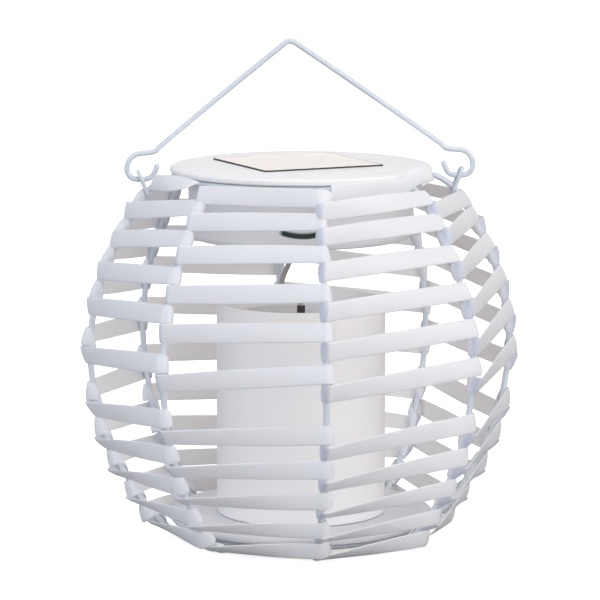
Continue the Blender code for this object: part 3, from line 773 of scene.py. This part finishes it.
def make_strip_tree():
    """Sweeps a flat strip with rounded edges through stations that carry their own directions."""
    tree, given, result = new_tree("wound_strip", "GeometryNodeTree", [
        ("Stations", "NodeSocketGeometry", None), ("Thickness", "NodeSocketFloat", STRIP_T * MM),
        ("Edge Fullness", "NodeSocketFloat", 6.0), ("Points Around", "NodeSocketInt", 29),
        ("Waviness", "NodeSocketFloat", 0.00016), ("Wave Scale", "NodeSocketFloat", 55.0),
        ("Cupping", "NodeSocketFloat", 0.00038),
        ("Seed", "NodeSocketFloat", 3.0), ("Finish", "NodeSocketMaterial", None)],
        [("Strip", "NodeSocketGeometry")])
    nodes = tree.nodes
    do = partial(calc, tree)
    size = nodes.new("GeometryNodeAttributeDomainSize")
    feed(tree, size.inputs[0], given.outputs["Stations"])
    grid = nodes.new("GeometryNodeMeshGrid")
    feed(tree, grid.inputs["Vertices X"], size.outputs["Point Count"])
    feed(tree, grid.inputs["Vertices Y"], given.outputs["Points Around"])
    index = nodes.new("GeometryNodeInputIndex").outputs[0]
    around = given.outputs["Points Around"]
    row = do("FLOOR", do("DIVIDE", do("ADD", index, 0.5), around))
    column = do("SUBTRACT", index, do("MULTIPLY", row, around))

    def carried(name, kind):
        """What the station of this row carries."""
        node = nodes.new("GeometryNodeSampleIndex")
        node.data_type = kind
        node.domain = "POINT"
        feed(tree, node.inputs["Geometry"], given.outputs["Stations"])
        if name == "position":
            feed(tree, node.inputs["Value"], nodes.new("GeometryNodeInputPosition").outputs[0])
        else:
            read = nodes.new("GeometryNodeInputNamedAttribute")
            read.data_type = kind
            read.inputs["Name"].default_value = name
            feed(tree, node.inputs["Value"], read.outputs["Attribute"])
        feed(tree, node.inputs["Index"], row)
        return node.outputs[0]

    centre = carried("position", "FLOAT_VECTOR")
    across = carried("across", "FLOAT_VECTOR")
    through = carried("through", "FLOAT_VECTOR")
    half = carried("half_width", "FLOAT")
    body = carried("body", "FLOAT")
    angle = do("DIVIDE", do("MULTIPLY", column, 2 * math.pi), do("SUBTRACT", around, 1.0))
    u = do("COSINE", angle)
    sine = do("SINE", angle)
    off_edge = do("GREATER_THAN", do("ABSOLUTE", sine), 0.0001)
    side = do("SIGN", do("MULTIPLY", off_edge, sine))
    fullness = given.outputs["Edge Fullness"]
    rest = do("MAXIMUM", do("SUBTRACT", 1.0, do("POWER", do("ABSOLUTE", u), fullness)), 0.0)
    v = do("MULTIPLY", do("POWER", rest, do("DIVIDE", 1.0, fullness)), side)
    thick = do("MULTIPLY", do("MULTIPLY", v, body), do("MULTIPLY", given.outputs["Thickness"], 0.5))
    shifted = vector_calc(tree, "ADD", centre, scaled(tree, (1.0, 0.7, 0.4), given.outputs["Seed"]))
    ripple = noise(tree, shifted, given.outputs["Wave Scale"])
    wave = do("MULTIPLY", do("SUBTRACT", ripple, 0.5), do("MULTIPLY", given.outputs["Waviness"], 2.0))
    cup = do("MULTIPLY", given.outputs["Cupping"], do("SUBTRACT", 0.4, do("MULTIPLY", u, u)))
    place = vector_calc(tree, "ADD", centre, scaled(tree, across, do("MULTIPLY", u, half)))
    place = vector_calc(tree, "ADD", place, scaled(tree, through, do("ADD", do("ADD", thick, wave), cup)))
    move = nodes.new("GeometryNodeSetPosition")
    feed(tree, move.inputs["Geometry"], grid.outputs["Mesh"])
    feed(tree, move.inputs["Position"], place)
    geometry = move.outputs[0]
    inner = do("LESS_THAN", v, -0.2)
    # the fold attribute carries painted shade for the folds into the finish
    for name, value in (("strip_u", u), ("strip_inner", inner), ("strip_along", carried("along", "FLOAT")),
                        ("strip_fold_shade", carried("fold_shade", "FLOAT"))):
        keep = nodes.new("GeometryNodeStoreNamedAttribute")
        keep.data_type = "FLOAT"
        keep.domain = "POINT"
        feed(tree, keep.inputs["Geometry"], geometry)
        keep.inputs["Name"].default_value = name
        feed(tree, keep.inputs["Value"], value)
        geometry = keep.outputs[0]
    weld = nodes.new("GeometryNodeMergeByDistance")
    feed(tree, weld.inputs["Geometry"], geometry)
    weld.inputs["Distance"].default_value = 0.000001
    close_tree(tree, weld.outputs[0], given.outputs["Finish"], result.inputs["Strip"])
    return tree


def make_wire_tree():
    """A round coated wire along a path, with its ends rounded and the coat slightly uneven."""
    tree, given, result = new_tree("coated_wire_run", "GeometryNodeTree", [
        ("Path", "NodeSocketGeometry", None), ("Wire Radius", "NodeSocketFloat", 0.00145),
        ("Sides", "NodeSocketInt", 20), ("Coat Unevenness", "NodeSocketFloat", 0.00006),
        ("Unevenness Scale", "NodeSocketFloat", 160.0), ("Finish", "NodeSocketMaterial", None)],
        [("Wire", "NodeSocketGeometry")])
    nodes = tree.nodes
    path = nodes.new("GeometryNodeMeshToCurve")
    feed(tree, path.inputs["Mesh"], given.outputs["Path"])
    ring = nodes.new("GeometryNodeCurvePrimitiveCircle")
    feed(tree, ring.inputs["Resolution"], given.outputs["Sides"])
    feed(tree, ring.inputs["Radius"], given.outputs["Wire Radius"])
    taper = nodes.new("GeometryNodeInputNamedAttribute")
    taper.data_type = "FLOAT"
    taper.inputs["Name"].default_value = "taper"
    sweep = nodes.new("GeometryNodeCurveToMesh")
    feed(tree, sweep.inputs["Curve"], path.outputs[0])
    feed(tree, sweep.inputs["Profile Curve"], ring.outputs["Curve"])
    feed(tree, sweep.inputs["Scale"], taper.outputs["Attribute"])
    weld = nodes.new("GeometryNodeMergeByDistance")
    feed(tree, weld.inputs["Geometry"], sweep.outputs[0])
    weld.inputs["Distance"].default_value = 0.000002
    position = nodes.new("GeometryNodeInputPosition").outputs[0]
    lumps = calc(tree, "SUBTRACT", noise(tree, position, given.outputs["Unevenness Scale"], 2.0), 0.5)
    offset = scaled(tree, nodes.new("GeometryNodeInputNormal").outputs["Normal"],
                    calc(tree, "MULTIPLY", lumps, given.outputs["Coat Unevenness"]))
    move = nodes.new("GeometryNodeSetPosition")
    feed(tree, move.inputs["Geometry"], weld.outputs[0])
    feed(tree, move.inputs["Offset"], offset)
    close_tree(tree, move.outputs[0], given.outputs["Finish"], result.inputs["Wire"])
    return tree


def make_bead_tree():
    """A flattened, lumpy bead of weld on every joint point."""
    tree, given, result = new_tree("weld_beads", "GeometryNodeTree", [
        ("Joints", "NodeSocketGeometry", None), ("Bead Radius", "NodeSocketFloat", 0.0019),
        ("Lumps", "NodeSocketFloat", 0.0005), ("Seed", "NodeSocketInt", 4),
        ("Finish", "NodeSocketMaterial", None)], [("Beads", "NodeSocketGeometry")])
    nodes = tree.nodes
    ball = nodes.new("GeometryNodeMeshIcoSphere")
    ball.inputs["Subdivisions"].default_value = 4
    feed(tree, ball.inputs["Radius"], given.outputs["Bead Radius"])
    swing = nodes.new("FunctionNodeRandomValue")
    swing.data_type = "FLOAT_VECTOR"
    swing.inputs["Min"].default_value = (0.75, 0.75, 0.6)
    swing.inputs["Max"].default_value = (1.0, 1.0, 0.8)
    feed(tree, swing.inputs["Seed"], given.outputs["Seed"])
    put = nodes.new("GeometryNodeInstanceOnPoints")
    feed(tree, put.inputs["Points"], given.outputs["Joints"])
    feed(tree, put.inputs["Instance"], ball.outputs["Mesh"])
    feed(tree, put.inputs["Scale"], swing.outputs[0])
    real = nodes.new("GeometryNodeRealizeInstances")
    feed(tree, real.inputs["Geometry"], put.outputs[0])
    position = nodes.new("GeometryNodeInputPosition").outputs[0]
    lumps = calc(tree, "MULTIPLY", calc(tree, "SUBTRACT", noise(tree, position, 700.0, 2.0), 0.5),
                 given.outputs["Lumps"])
    move = nodes.new("GeometryNodeSetPosition")
    feed(tree, move.inputs["Geometry"], real.outputs[0])
    outward = nodes.new("GeometryNodeInputNormal").outputs["Normal"]
    feed(tree, move.inputs["Offset"], scaled(tree, outward, lumps))
    close_tree(tree, move.outputs[0], given.outputs["Finish"], result.inputs["Beads"])
    return tree


STRIP_TREE = make_strip_tree()
WIRE_TREE = make_wire_tree()
BEAD_TREE = make_bead_tree()


def run_tree(obj, tree, **values):
    """Add the tree with its inputs set by identifier, and settle the result."""
    modifier = obj.modifiers.new(tree.name, "NODES")
    modifier.node_group = tree
    names = {item.name: item.identifier for item in tree.interface.items_tree if item.in_out == "INPUT"}
    for label, value in values.items():
        modifier[names[label.replace("_", " ")]] = value
    return settled(obj)


# ---------------------------------------------------------------- paths on the ribs
def rib_path(per_span):
    return smooth_path([(r, 0.0, z) for r, z in RIB_PROFILE], per_span)


def round_axis(name, radius, height):
    """A place at the named rib's turn round the axis."""
    a = math.radians(RIB_TURN[name])
    return (radius * math.sin(a), -radius * math.cos(a), height)


RIB_LINE = rib_path(12)
RIB_LENGTHS = lengths_along(RIB_LINE)


def rib_length_at(height):
    """Length along the rib, from its top end, at which it passes a height."""
    for i in range(len(RIB_LINE) - 1):
        above, below = RIB_LINE[i].z, RIB_LINE[i + 1].z
        if above >= height >= below:
            t = (above - height) / max(above - below, 1e-9)
            return RIB_LENGTHS[i] + t * (RIB_LENGTHS[i + 1] - RIB_LENGTHS[i])
    return RIB_LENGTHS[-1]


def rib_frame(turn_deg, s):
    """A place on a rib, with the directions away from the lantern, up the rib and round the lantern."""
    a = math.radians(turn_deg)
    out = Vector((math.sin(a), -math.cos(a), 0.0))
    side = Vector((math.cos(a), math.sin(a), 0.0))
    here = read_at(RIB_LINE, RIB_LENGTHS, s)
    step = read_at(RIB_LINE, RIB_LENGTHS, s - 1.0) - read_at(RIB_LINE, RIB_LENGTHS, s + 1.0)
    step.normalize()
    return (out * here.x + UP * here.z, out * step.z - UP * step.x, out * step.x + UP * step.z, side)


def touch_angle(turn_deg, s):
    """How far round the rib's wire a straight run from the next rib leaves it."""
    away = rib_frame(turn_deg, s)[1]
    return math.degrees(math.atan(math.tan(math.radians(22.5)) * math.hypot(away.x, away.y)))


def uneven(*keys):
    """A fixed small number from -1 to 1 for a place on the lantern."""
    value = math.sin(sum(k * w for k, w in zip(keys, (12.9898, 78.233, 37.719, 9.131))) + 4.1) * 43758.5453
    return 2.0 * (value - math.floor(value)) - 1.0


def part_of(value, full):
    """Share of a full length, kept between 0 and 1."""
    return min(max(value / full, 0.0), 1.0)


def eased(t):
    return t * t * (3 - 2 * t)


def wrap(course, rib, s_in, s_out, first, last, steps, leans=None):
    """Stations of the strip round one rib: centre, across, through, half width, share of painted fold shade.
    """
    turn_deg = RIB_TURN[RIB_NAMES[rib]]
    lean_in, lean_out = leans or (LEAN_IN[course], LEAN_OUT[course])
    stations = []
    for i in range(steps + 1):
        deg = first + (last - first) * i / steps
        stepped = eased(part_of(deg - STEP_DOWN[0], STEP_DOWN[1]))
        s = s_in + (s_out - s_in) * stepped
        arriving = part_of(ARRIVAL[0] - deg, ARRIVAL[1])
        leaving = eased(part_of(deg - LEAVING[0], LEAVING[1]))
        lean = math.radians(lean_in * arriving + lean_out * leaving + 1.5 * uneven(course, rib, 1))
        pinch = math.sin(math.pi * part_of(deg, 360.0)) ** 2
        half = HALF_WIDTH[course] * (1.0 - 0.15 * pinch) * (1.0 + 0.02 * uneven(course, rib, 2))
        over = WRAP_OVER[course] * (1.0 - stepped)
        centre_r = RIB_WIRE_R + WRAP_GAP + STRIP_T / 2 + half * abs(math.sin(lean)) + over
        point, away, up, side = rib_frame(turn_deg, s)
        e = away * math.cos(math.radians(deg)) + side * math.sin(math.radians(deg))
        across = up * math.cos(lean) + e * math.sin(lean)
        through = e * math.cos(lean) - up * math.sin(lean)
        # painted shade: the strip's colour is darkened in the fold of each wrap, and a little where it
        # pinches round the rib
        fold_shade = part_of(deg - FOLD_SHADE[0], FOLD_SHADE[1]) * part_of(last - deg, FOLD_SHADE_END)
        stations.append((point + e * centre_r, across, through, half, max(0.4 * pinch, fold_shade)))
    return stations


def full_wrap(course, rib, tucked=False):
    """The strip's turn round one rib of a course; a tucked one starts behind the rib."""
    s = rib_length_at(COURSE_Z[course][rib])
    touch = touch_angle(RIB_TURN[RIB_NAMES[rib]], s)
    if (course, rib) in PASSES:
        return wrap(course, rib, s, s, -touch, touch, 6)
    first = TUCKED_START if tucked else -touch
    down_in, down_out, leans = -WRAP_IN[course], WRAP_OUT[course], None
    if course == 0 and rib in TOP_COURSE:
        down_in, down_out, *leans = TOP_COURSE[rib]
    return wrap(course, rib, s + down_in, s + down_out, first, 360.0 + touch, 18 if tucked else 32, leans)


def run_between(a, b, steps, course, rib):
    """The straight run from one rib to the next, which turns gently as it goes."""
    stations = []
    chord = b[0] - a[0]
    sag = 0.22 * uneven(course, rib, 3)
    for k in range(1, steps):
        t = k / steps
        across = a[1].lerp(b[1], t).normalized()
        through = a[2].lerp(b[2], t)
        through = (through - across * through.dot(across)).normalized()
        belly = math.sin(math.pi * t)
        centre = a[0] + chord * t + across * (sag * belly) + through * (0.12 * belly * uneven(course, rib, 4))
        half = (a[3] + (b[3] - a[3]) * t) * (1.0 + 0.03 * belly)
        stations.append((centre, across, through, half, 0.0))
    return stations


def strip_piece(name, stations, node, seed):
    """Build one length of strip through its stations."""
    start, end = stations[0], stations[-1]
    lead_in = (start[0] - stations[1][0]).normalized() * END_CAP
    lead_out = (end[0] - stations[-2][0]).normalized() * END_CAP
    stations = [(start[0] + lead_in, *start[1:3], start[3] * END_WIDTH, start[4])] + stations
    stations.append((end[0] + lead_out, *end[1:3], end[3] * END_WIDTH, end[4]))
    centres, across, through, halves, fold_shades = zip(*stations)
    obj = mesh_object(name, centres, [], None)
    for label, values in (("across", across), ("through", through)):
        store = obj.data.attributes.new(label, "FLOAT_VECTOR", "POINT")
        store.data.foreach_set("vector", [c for v in values for c in v])
    for label, values in (("half_width", [half * MM for half in halves]), ("fold_shade", fold_shades),
                          ("body", [0.0] + [1.0] * (len(stations) - 2) + [0.0]),
                          ("along", [length * MM for length in lengths_along(centres)])):
        store = obj.data.attributes.new(label, "FLOAT", "POINT")
        store.data.foreach_set("value", values)
    run_tree(obj, STRIP_TREE, Finish=flat_strip, Seed=seed)
    installed(obj, "root", "flat_strip", node)


def course_stations(course):
    """Stations of one course: a turn on each rib, the runs between, and the run towards the next course."""
    ribs = [rib for rib, height in enumerate(COURSE_Z[course]) if height is not None]
    wraps = [full_wrap(course, rib, tucked=(course == 0 and rib == ribs[0])) for rib in ribs]
    if course + 1 < len(COURSE_Z):
        meet = full_wrap(course + 1, 0)[0]
    else:
        s = rib_length_at(COURSE_Z[course][0]) + 8.8
        meet = wrap(course, 0, s, s, -20.0, 0.0, 1)[0]
    stations = []
    for i, turns in enumerate(wraps):
        stations += turns
        goal = wraps[i + 1][0] if i + 1 < len(wraps) else meet
        stations += run_between(turns[-1], goal, 14, course, ribs[i])
    last = stations[-1]
    stations.append((last[0].lerp(meet[0], 0.96), last[1].lerp(meet[1], 0.96).normalized(),
                     last[2].lerp(meet[2], 0.96).normalized(), meet[3], 0.0))
    return stations


def loose_run(knots):
    """Stations of a loose run through places on its middle line, each with its lean and tilt."""
    path = smooth_path([k[:3] for k in knots], 8)
    behind = Vector((knots[0][0] - knots[3][0], knots[0][1] - knots[3][1], 0.0)).normalized()
    stations = []
    for i, centre in enumerate(path):
        span, t = min(i // 8, len(knots) - 2), (i % 8) / 8
        if i == len(path) - 1:
            t = 1.0
        lean, tilt = (math.radians(a + (b - a) * t) for a, b in zip(knots[span][3:], knots[span + 1][3:]))
        run = (path[min(i + 1, len(path) - 1)] - path[max(i - 1, 0)]).normalized()
        upright = UP * math.cos(tilt) + behind * math.sin(tilt)
        outward = run.cross(upright).normalized()
        stations.append((centre, upright * math.cos(lean) + outward * math.sin(lean),
                         outward * math.cos(lean) - upright * math.sin(lean), BAND_W / 2, 0.0))
    return stations


for course in range(len(COURSE_Z)):
    label = "strip_%02d" % (course + 1)
    strip_piece(label + "_wound", course_stations(course), label, 16.0)
strip_piece("strip_top_left_wound", loose_run(BAND_LEFT), "strip_top_left", 22.0)
strip_piece("strip_top_right_wound", loose_run(BAND_RIGHT), "strip_top_right", 23.0)


# ---------------------------------------------------------------- wire pieces
def wire_piece(name, path, radius, body, node, closed=False, sides=20, finish_material=coated_wire,
               slot="coated_wire", unevenness=0.06):
    """Build one coated wire along a path, its ends rounded."""
    points = [Vector(p) for p in path]
    taper = [1.0] * len(points)
    if not closed:
        reverse = list(reversed(points))
        total, total_back = lengths_along(points), lengths_along(reverse)
        rounding = ((0.0, 0.0), (0.06, 0.36), (0.22, 0.64), (0.5, 0.88))
        head = [(read_at(points, total, depth * radius), thick) for depth, thick in rounding]
        tail = [(read_at(reverse, total_back, depth * radius), thick) for depth, thick in rounding]
        middle = [(p, 1.0) for p, s in zip(points, total) if 0.9 * radius < s < total[-1] - 0.9 * radius]
        points, taper = zip(*head, *middle, *reversed(tail))
    edges = [(i, i + 1) for i in range(len(points) - 1)]
    if closed:
        edges.append((len(points) - 1, 0))
    obj = mesh_object(name, points, [], None, edges=edges)
    store = obj.data.attributes.new("taper", "FLOAT", "POINT")
    store.data.foreach_set("value", taper)
    run_tree(obj, WIRE_TREE, Wire_Radius=radius * MM, Sides=sides, Coat_Unevenness=unevenness * MM,
             Finish=finish_material)
    installed(obj, body, slot, node)


def make_ribs_and_rings():
    """Eight bent ribs and the two rings that hold them."""
    for name in RIB_NAMES:
        line = [round_axis(name, p.x, p.z) for p in rib_path(6)]
        wire_piece("rib_%s_coated" % name, line, RIB_WIRE_R, "root", "rib_" + name)
    for name, (radius, height) in (("top_ring", TOP_RING), ("bottom_ring", BOTTOM_RING)):
        wire_piece(name + "_coated", round_loop(radius, height, 144), RIB_WIRE_R, "root", name, closed=True)


def make_welds():
    """A bead on each rib at the top ring and at the bottom ring."""
    joints = [round_axis(name, radius, height) for name in RIB_NAMES for radius, height in WELDS]
    beads = mesh_object("weld_beads", joints, [], None)
    run_tree(beads, BEAD_TREE, Finish=coated_wire)
    installed(beads, "root", "coated_wire")


def make_eyelet(side_name, sign):
    """A long closed link that leans with its rib."""
    lean = Vector((EYE_TOP[0] - EYE_BOTTOM[0], 0, EYE_TOP[1] - EYE_BOTTOM[1]))
    reach = lean.length - 2 * EYE_HALF_W
    lean.normalize()
    loop = []
    for end, start_deg in ((0.0, 180.0), (reach, 0.0)):
        for i in range(17):
            a = math.radians(start_deg + 180.0 * i / 16)
            along = EYE_HALF_W + end + EYE_HALF_W * math.sin(a)
            loop.append((sign * (EYE_BOTTOM[0] + lean.x * along), EYE_HALF_W * math.cos(a),
                         EYE_BOTTOM[1] + lean.z * along))
    wire_piece("eyelet_%s_coated" % side_name, loop, EYE_WIRE_R, "root", "eyelet_" + side_name, closed=True,
               sides=16, unevenness=0.05)


def make_bail():
    """One length of wire: hook, arm, bend at the top, arm and hook."""
    def arm(start, end, bow):
        """The long side of the bail, with the slight bow of hand-bent wire."""
        return [start.lerp(end, k / 24) + UP * (bow * math.sin(math.pi * k / 24)) for k in range(1, 24)]

    left_hook = [(-x, 0.0, z) for x, z in HOOK]
    right_hook = [(x, 0.0, z) for x, z in HOOK]
    apex = Vector((BAIL_APEX[0], 0.0, BAIL_APEX[1]))
    a, b = (apex + (Vector(hook[0]) - apex).normalized() * APEX_BEND for hook in (left_hook, right_hook))
    bend = []
    for k in range(13):
        t = k / 12
        bend.append(a * (1 - t) ** 2 + apex * 2 * t * (1 - t) + b * t ** 2)
    left_part = smooth_path(list(reversed(left_hook)), 6)
    right_part = smooth_path(right_hook, 6)
    line = (left_part + arm(left_part[-1], bend[0], ARM_BOW[0]) + bend
            + arm(bend[-1], right_part[0], ARM_BOW[1]) + right_part)
    wire_piece("bail_coated", line, BAIL_WIRE_R, "bail", "bail_handle")


make_ribs_and_rings()
make_welds()
make_eyelet("left", -1)
make_eyelet("right", 1)
make_bail()
wire_piece("lamp_lead_sheathed", smooth_path(LEAD_ROUTE, 10), LEAD_R, "root", "lamp_lead", sides=18,
           finish_material=lead_sheath, slot="lead_sheath", unevenness=0.04)

# ---------------------------------------------------------------- lamp module
STEPS = 160


def make_lid():
    """Flanged lid with a flat rim, sunk in a square for the panel."""
    loops = [round_loop(r, z, STEPS) for r, z in softened(
        [(0, 174.0), (51.0, 174.0), (51.0, 173.0), (60.9, 173.0), (61.5, 173.6), (61.5, 175.2), (60.6, 176.1),
         (57.0, 176.7), (45.6, 177.2)], 0.35)]
    for half, height, corner in ((30.75, 177.2, 0.9), (30.52, 177.12, 0.8), (30.45, 176.9, 0.7),
                                 (30.45, 175.35, 0.7), (30.3, 175.3, 0.6), (15.0, 175.3, 0.4)):
        loops.append(square_loop(half, height, STEPS, corner, PANEL_X, PANEL_TURN))
    loops.append([(PANEL_X, 0.0, 175.3)])
    lid = edges_kept(loft("lid_moulded", loops, lid_plastic))
    installed(lid, "module", "lid_plastic", "module_lid")


def square_plate(name, low, high, material, edge):
    """A plate of the panel's size, its edges broken."""
    half = PANEL_SIDE / 2
    loops = [[(PANEL_X, 0.0, low)]]
    for h, z in ((half - edge * 2, low), (half - edge, low), (half, low + edge), (half, high - edge),
                 (half - edge, high), (half - edge * 2, high)):
        loops.append(square_loop(h, z, STEPS, 0.7, PANEL_X, PANEL_TURN))
    loops.append([(PANEL_X, 0.0, high)])
    return edges_kept(loft(name, loops, material))


def make_panel():
    """The cells, the clear cover over them and the dark seal round its edge."""
    cells = square_plate("solar_cell_printed", 175.45, 176.05, solar_cell, 0.08)
    installed(cells, "module", "solar_cell", "solar_cell")
    cover = square_plate("panel_cover_clear", 176.15, 177.85, clear_cover, 0.12)
    installed(cover, "module", "clear_cover", "panel_cover")
    outline = [(30.13, 176.40), (30.40, 176.40), (30.42, 177.70), (30.32, 177.82), (30.13, 177.82)]
    loops = [square_loop(half, z, STEPS, 0.8, PANEL_X, PANEL_TURN) for half, z in outline]
    seal = loft("panel_edge_seal", loops, black_rubber, closed=True)
    installed(edges_kept(seal), "module", "black_rubber")


def make_drum():
    """Open-topped drum with its openings for the lead, the switch and the battery."""
    drum = turned("drum_moulded", [
        (0, 142.4), (50.6, 142.4), (52.3, 143.1), (53.0, 144.8), (53.0, 172.7), (51.2, 172.7), (51.2, 145.6),
        (50.0, 144.2), (0, 144.2)], housing_plastic, steps=144, radius=0.5)
    cut_round(drum, (0.0, 0.0), LEAD_HOLE_R, DRUM_FLOOR)
    cut_square(drum, SWITCH_AT, SWITCH_OPENING, DRUM_FLOOR)
    cut_square(drum, (0.0, DOOR_Y), DOOR_OPENING, DRUM_FLOOR)
    for hole_x in (-SCREW_X, SCREW_X):
        cut_round(drum, (hole_x, DOOR_Y), SCREW_HOLE_R, DRUM_FLOOR)
    for polygon in drum.data.polygons:
        polygon.use_smooth = True
    installed(edges_kept(drum, 35.0), "module", "housing_plastic", "lamp_housing")


def make_grommet():
    grommet = turned("grommet_moulded", [
        (1.5, 141.3), (3.8, 141.3), (3.8, 142.1), (2.3, 142.1), (2.3, 145.2), (1.5, 145.2)],
        black_rubber, steps=64, radius=0.2)
    installed(grommet, "module", "black_rubber", "module_grommet")


make_lid()
make_panel()
make_drum()
make_grommet()


# ---------------------------------------------------------------- candle and base plate
def make_candle():
    """Opal tube, its sunken top and the stub in it that takes the lead."""
    tube = turned("candle_moulded", [
        (38.7, 11.1), (40.0, 11.1), (40.0, 111.5), (39.7, 111.8), (39.0, 111.8), (38.7, 111.4)],
        opal_plastic, steps=STEPS, radius=0.25)
    installed(tube, "root", "opal_plastic", "candle_tube")
    top = turned("candle_top_moulded", [
        (2.1, 101.6), (38.4, 101.6), (38.4, 103.4), (37.0, 103.4), (34.0, 103.0), (8.0, 102.9), (4.6, 103.4),
        (2.1, 103.4)], opal_plastic, steps=STEPS, radius=0.5)
    installed(top, "root", "opal_plastic", "candle_top")
    stub = turned("lead_stub_moulded", [
        (1.5, 101.0), (1.85, 101.0), (1.85, 103.7), (3.2, 103.7), (3.2, 104.5), (1.9, 105.0), (1.9, 109.3),
        (1.5, 109.3)], black_rubber, steps=64, radius=0.2)
    installed(stub, "root", "black_rubber", "lead_stub")


def make_base_plate():
    """Round plate with the step that the candle fits over."""
    plate = turned("base_plate_moulded", [
        (0, 6.45), (60.0, 6.45), (61.7, 7.2), (62.4, 8.8), (62.4, 10.2), (61.8, 10.8), (38.3, 10.8),
        (38.3, 12.4), (37.7, 13.0), (0, 13.0)], plate_plastic, steps=STEPS, radius=0.4)
    installed(plate, "root", "lid_plastic", "base_plate")


def make_led_lens():
    lens = turned("led_lens_moulded", [
        (0, 90.3), (1.4, 90.6), (2.3, 91.7), (2.5, 93.0), (2.5, 97.4), (2.9, 97.4), (2.9, 98.9), (0, 98.9)],
        led_resin, steps=48, radius=0.2)
    installed(lens, "root", "led_lens", "led_lens")


make_candle()
make_base_plate()
make_led_lens()

# ---------------------------------------------------------------- nodes that keep their own shape
KEPT = {
    "circuit_board": board_green, "battery_door": door_plastic, "door_screw_1": plated_steel,
    "door_screw_2": plated_steel, "battery": battery_sleeve, "contact_plus": plated_steel,
    "contact_minus": plated_steel, "contact_spring": plated_steel, "switch_body": black_rubber,
    "switch_slider": black_rubber, "led_board": board_green,
}
for node_name, kept_finish in KEPT.items():
    node = frame["nodes"][node_name]
    if not node.material_slots:
        node.data.materials.append(kept_finish)
    for slot in node.material_slots:
        slot.material = kept_finish


# ---------------------------------------------------------------- floor
def make_floor_finish():
    """Plain pale floor: white to look at, and dimmer as a source of bounced light."""
    made = finish("studio_floor", (0.95, 0.945, 0.94), (0.935, 0.93, 0.925), patch=0.7, roughness=0.7,
                  grain=60.0, bump=0.0, dust=0.0)
    tree = made["tree"]
    seen = tree.nodes.new("ShaderNodeLightPath").outputs["Is Camera Ray"]
    feed(tree, made["shader"].inputs["Base Color"],
         mixed(tree, seen, (0.26, 0.255, 0.26, 1.0), made["dust"].outputs["Tone"]))
    made["shader"].inputs["Emission Color"].default_value = (1.0, 1.0, 1.0, 1.0)
    feed(tree, made["shader"].inputs["Emission Strength"], calc(tree, "MULTIPLY", seen, 0.60))
    return made["material"]


floor_loops = [[(0.0, 0.0, -FLOOR_DROP)]] + [round_loop(r, -FLOOR_DROP, 96) for r in (400.0, 3000.0, 14000.0)]
loft("studio_floor", floor_loops, make_floor_finish())


# ---------------------------------------------------------------- light that the thin strip lets through
def light_through_strip():
    """The strip casts no shadow from these panels; every other piece does."""
    blockers = bpy.data.collections.new("panel_blockers")
    for obj in bpy.context.scene.objects:
        if obj.type == "MESH" and not obj.name.startswith("strip_"):
            blockers.objects.link(obj)
    for name in THROUGH_STRIP:
        panels[name].light_linking.blocker_collection = blockers


light_through_strip()
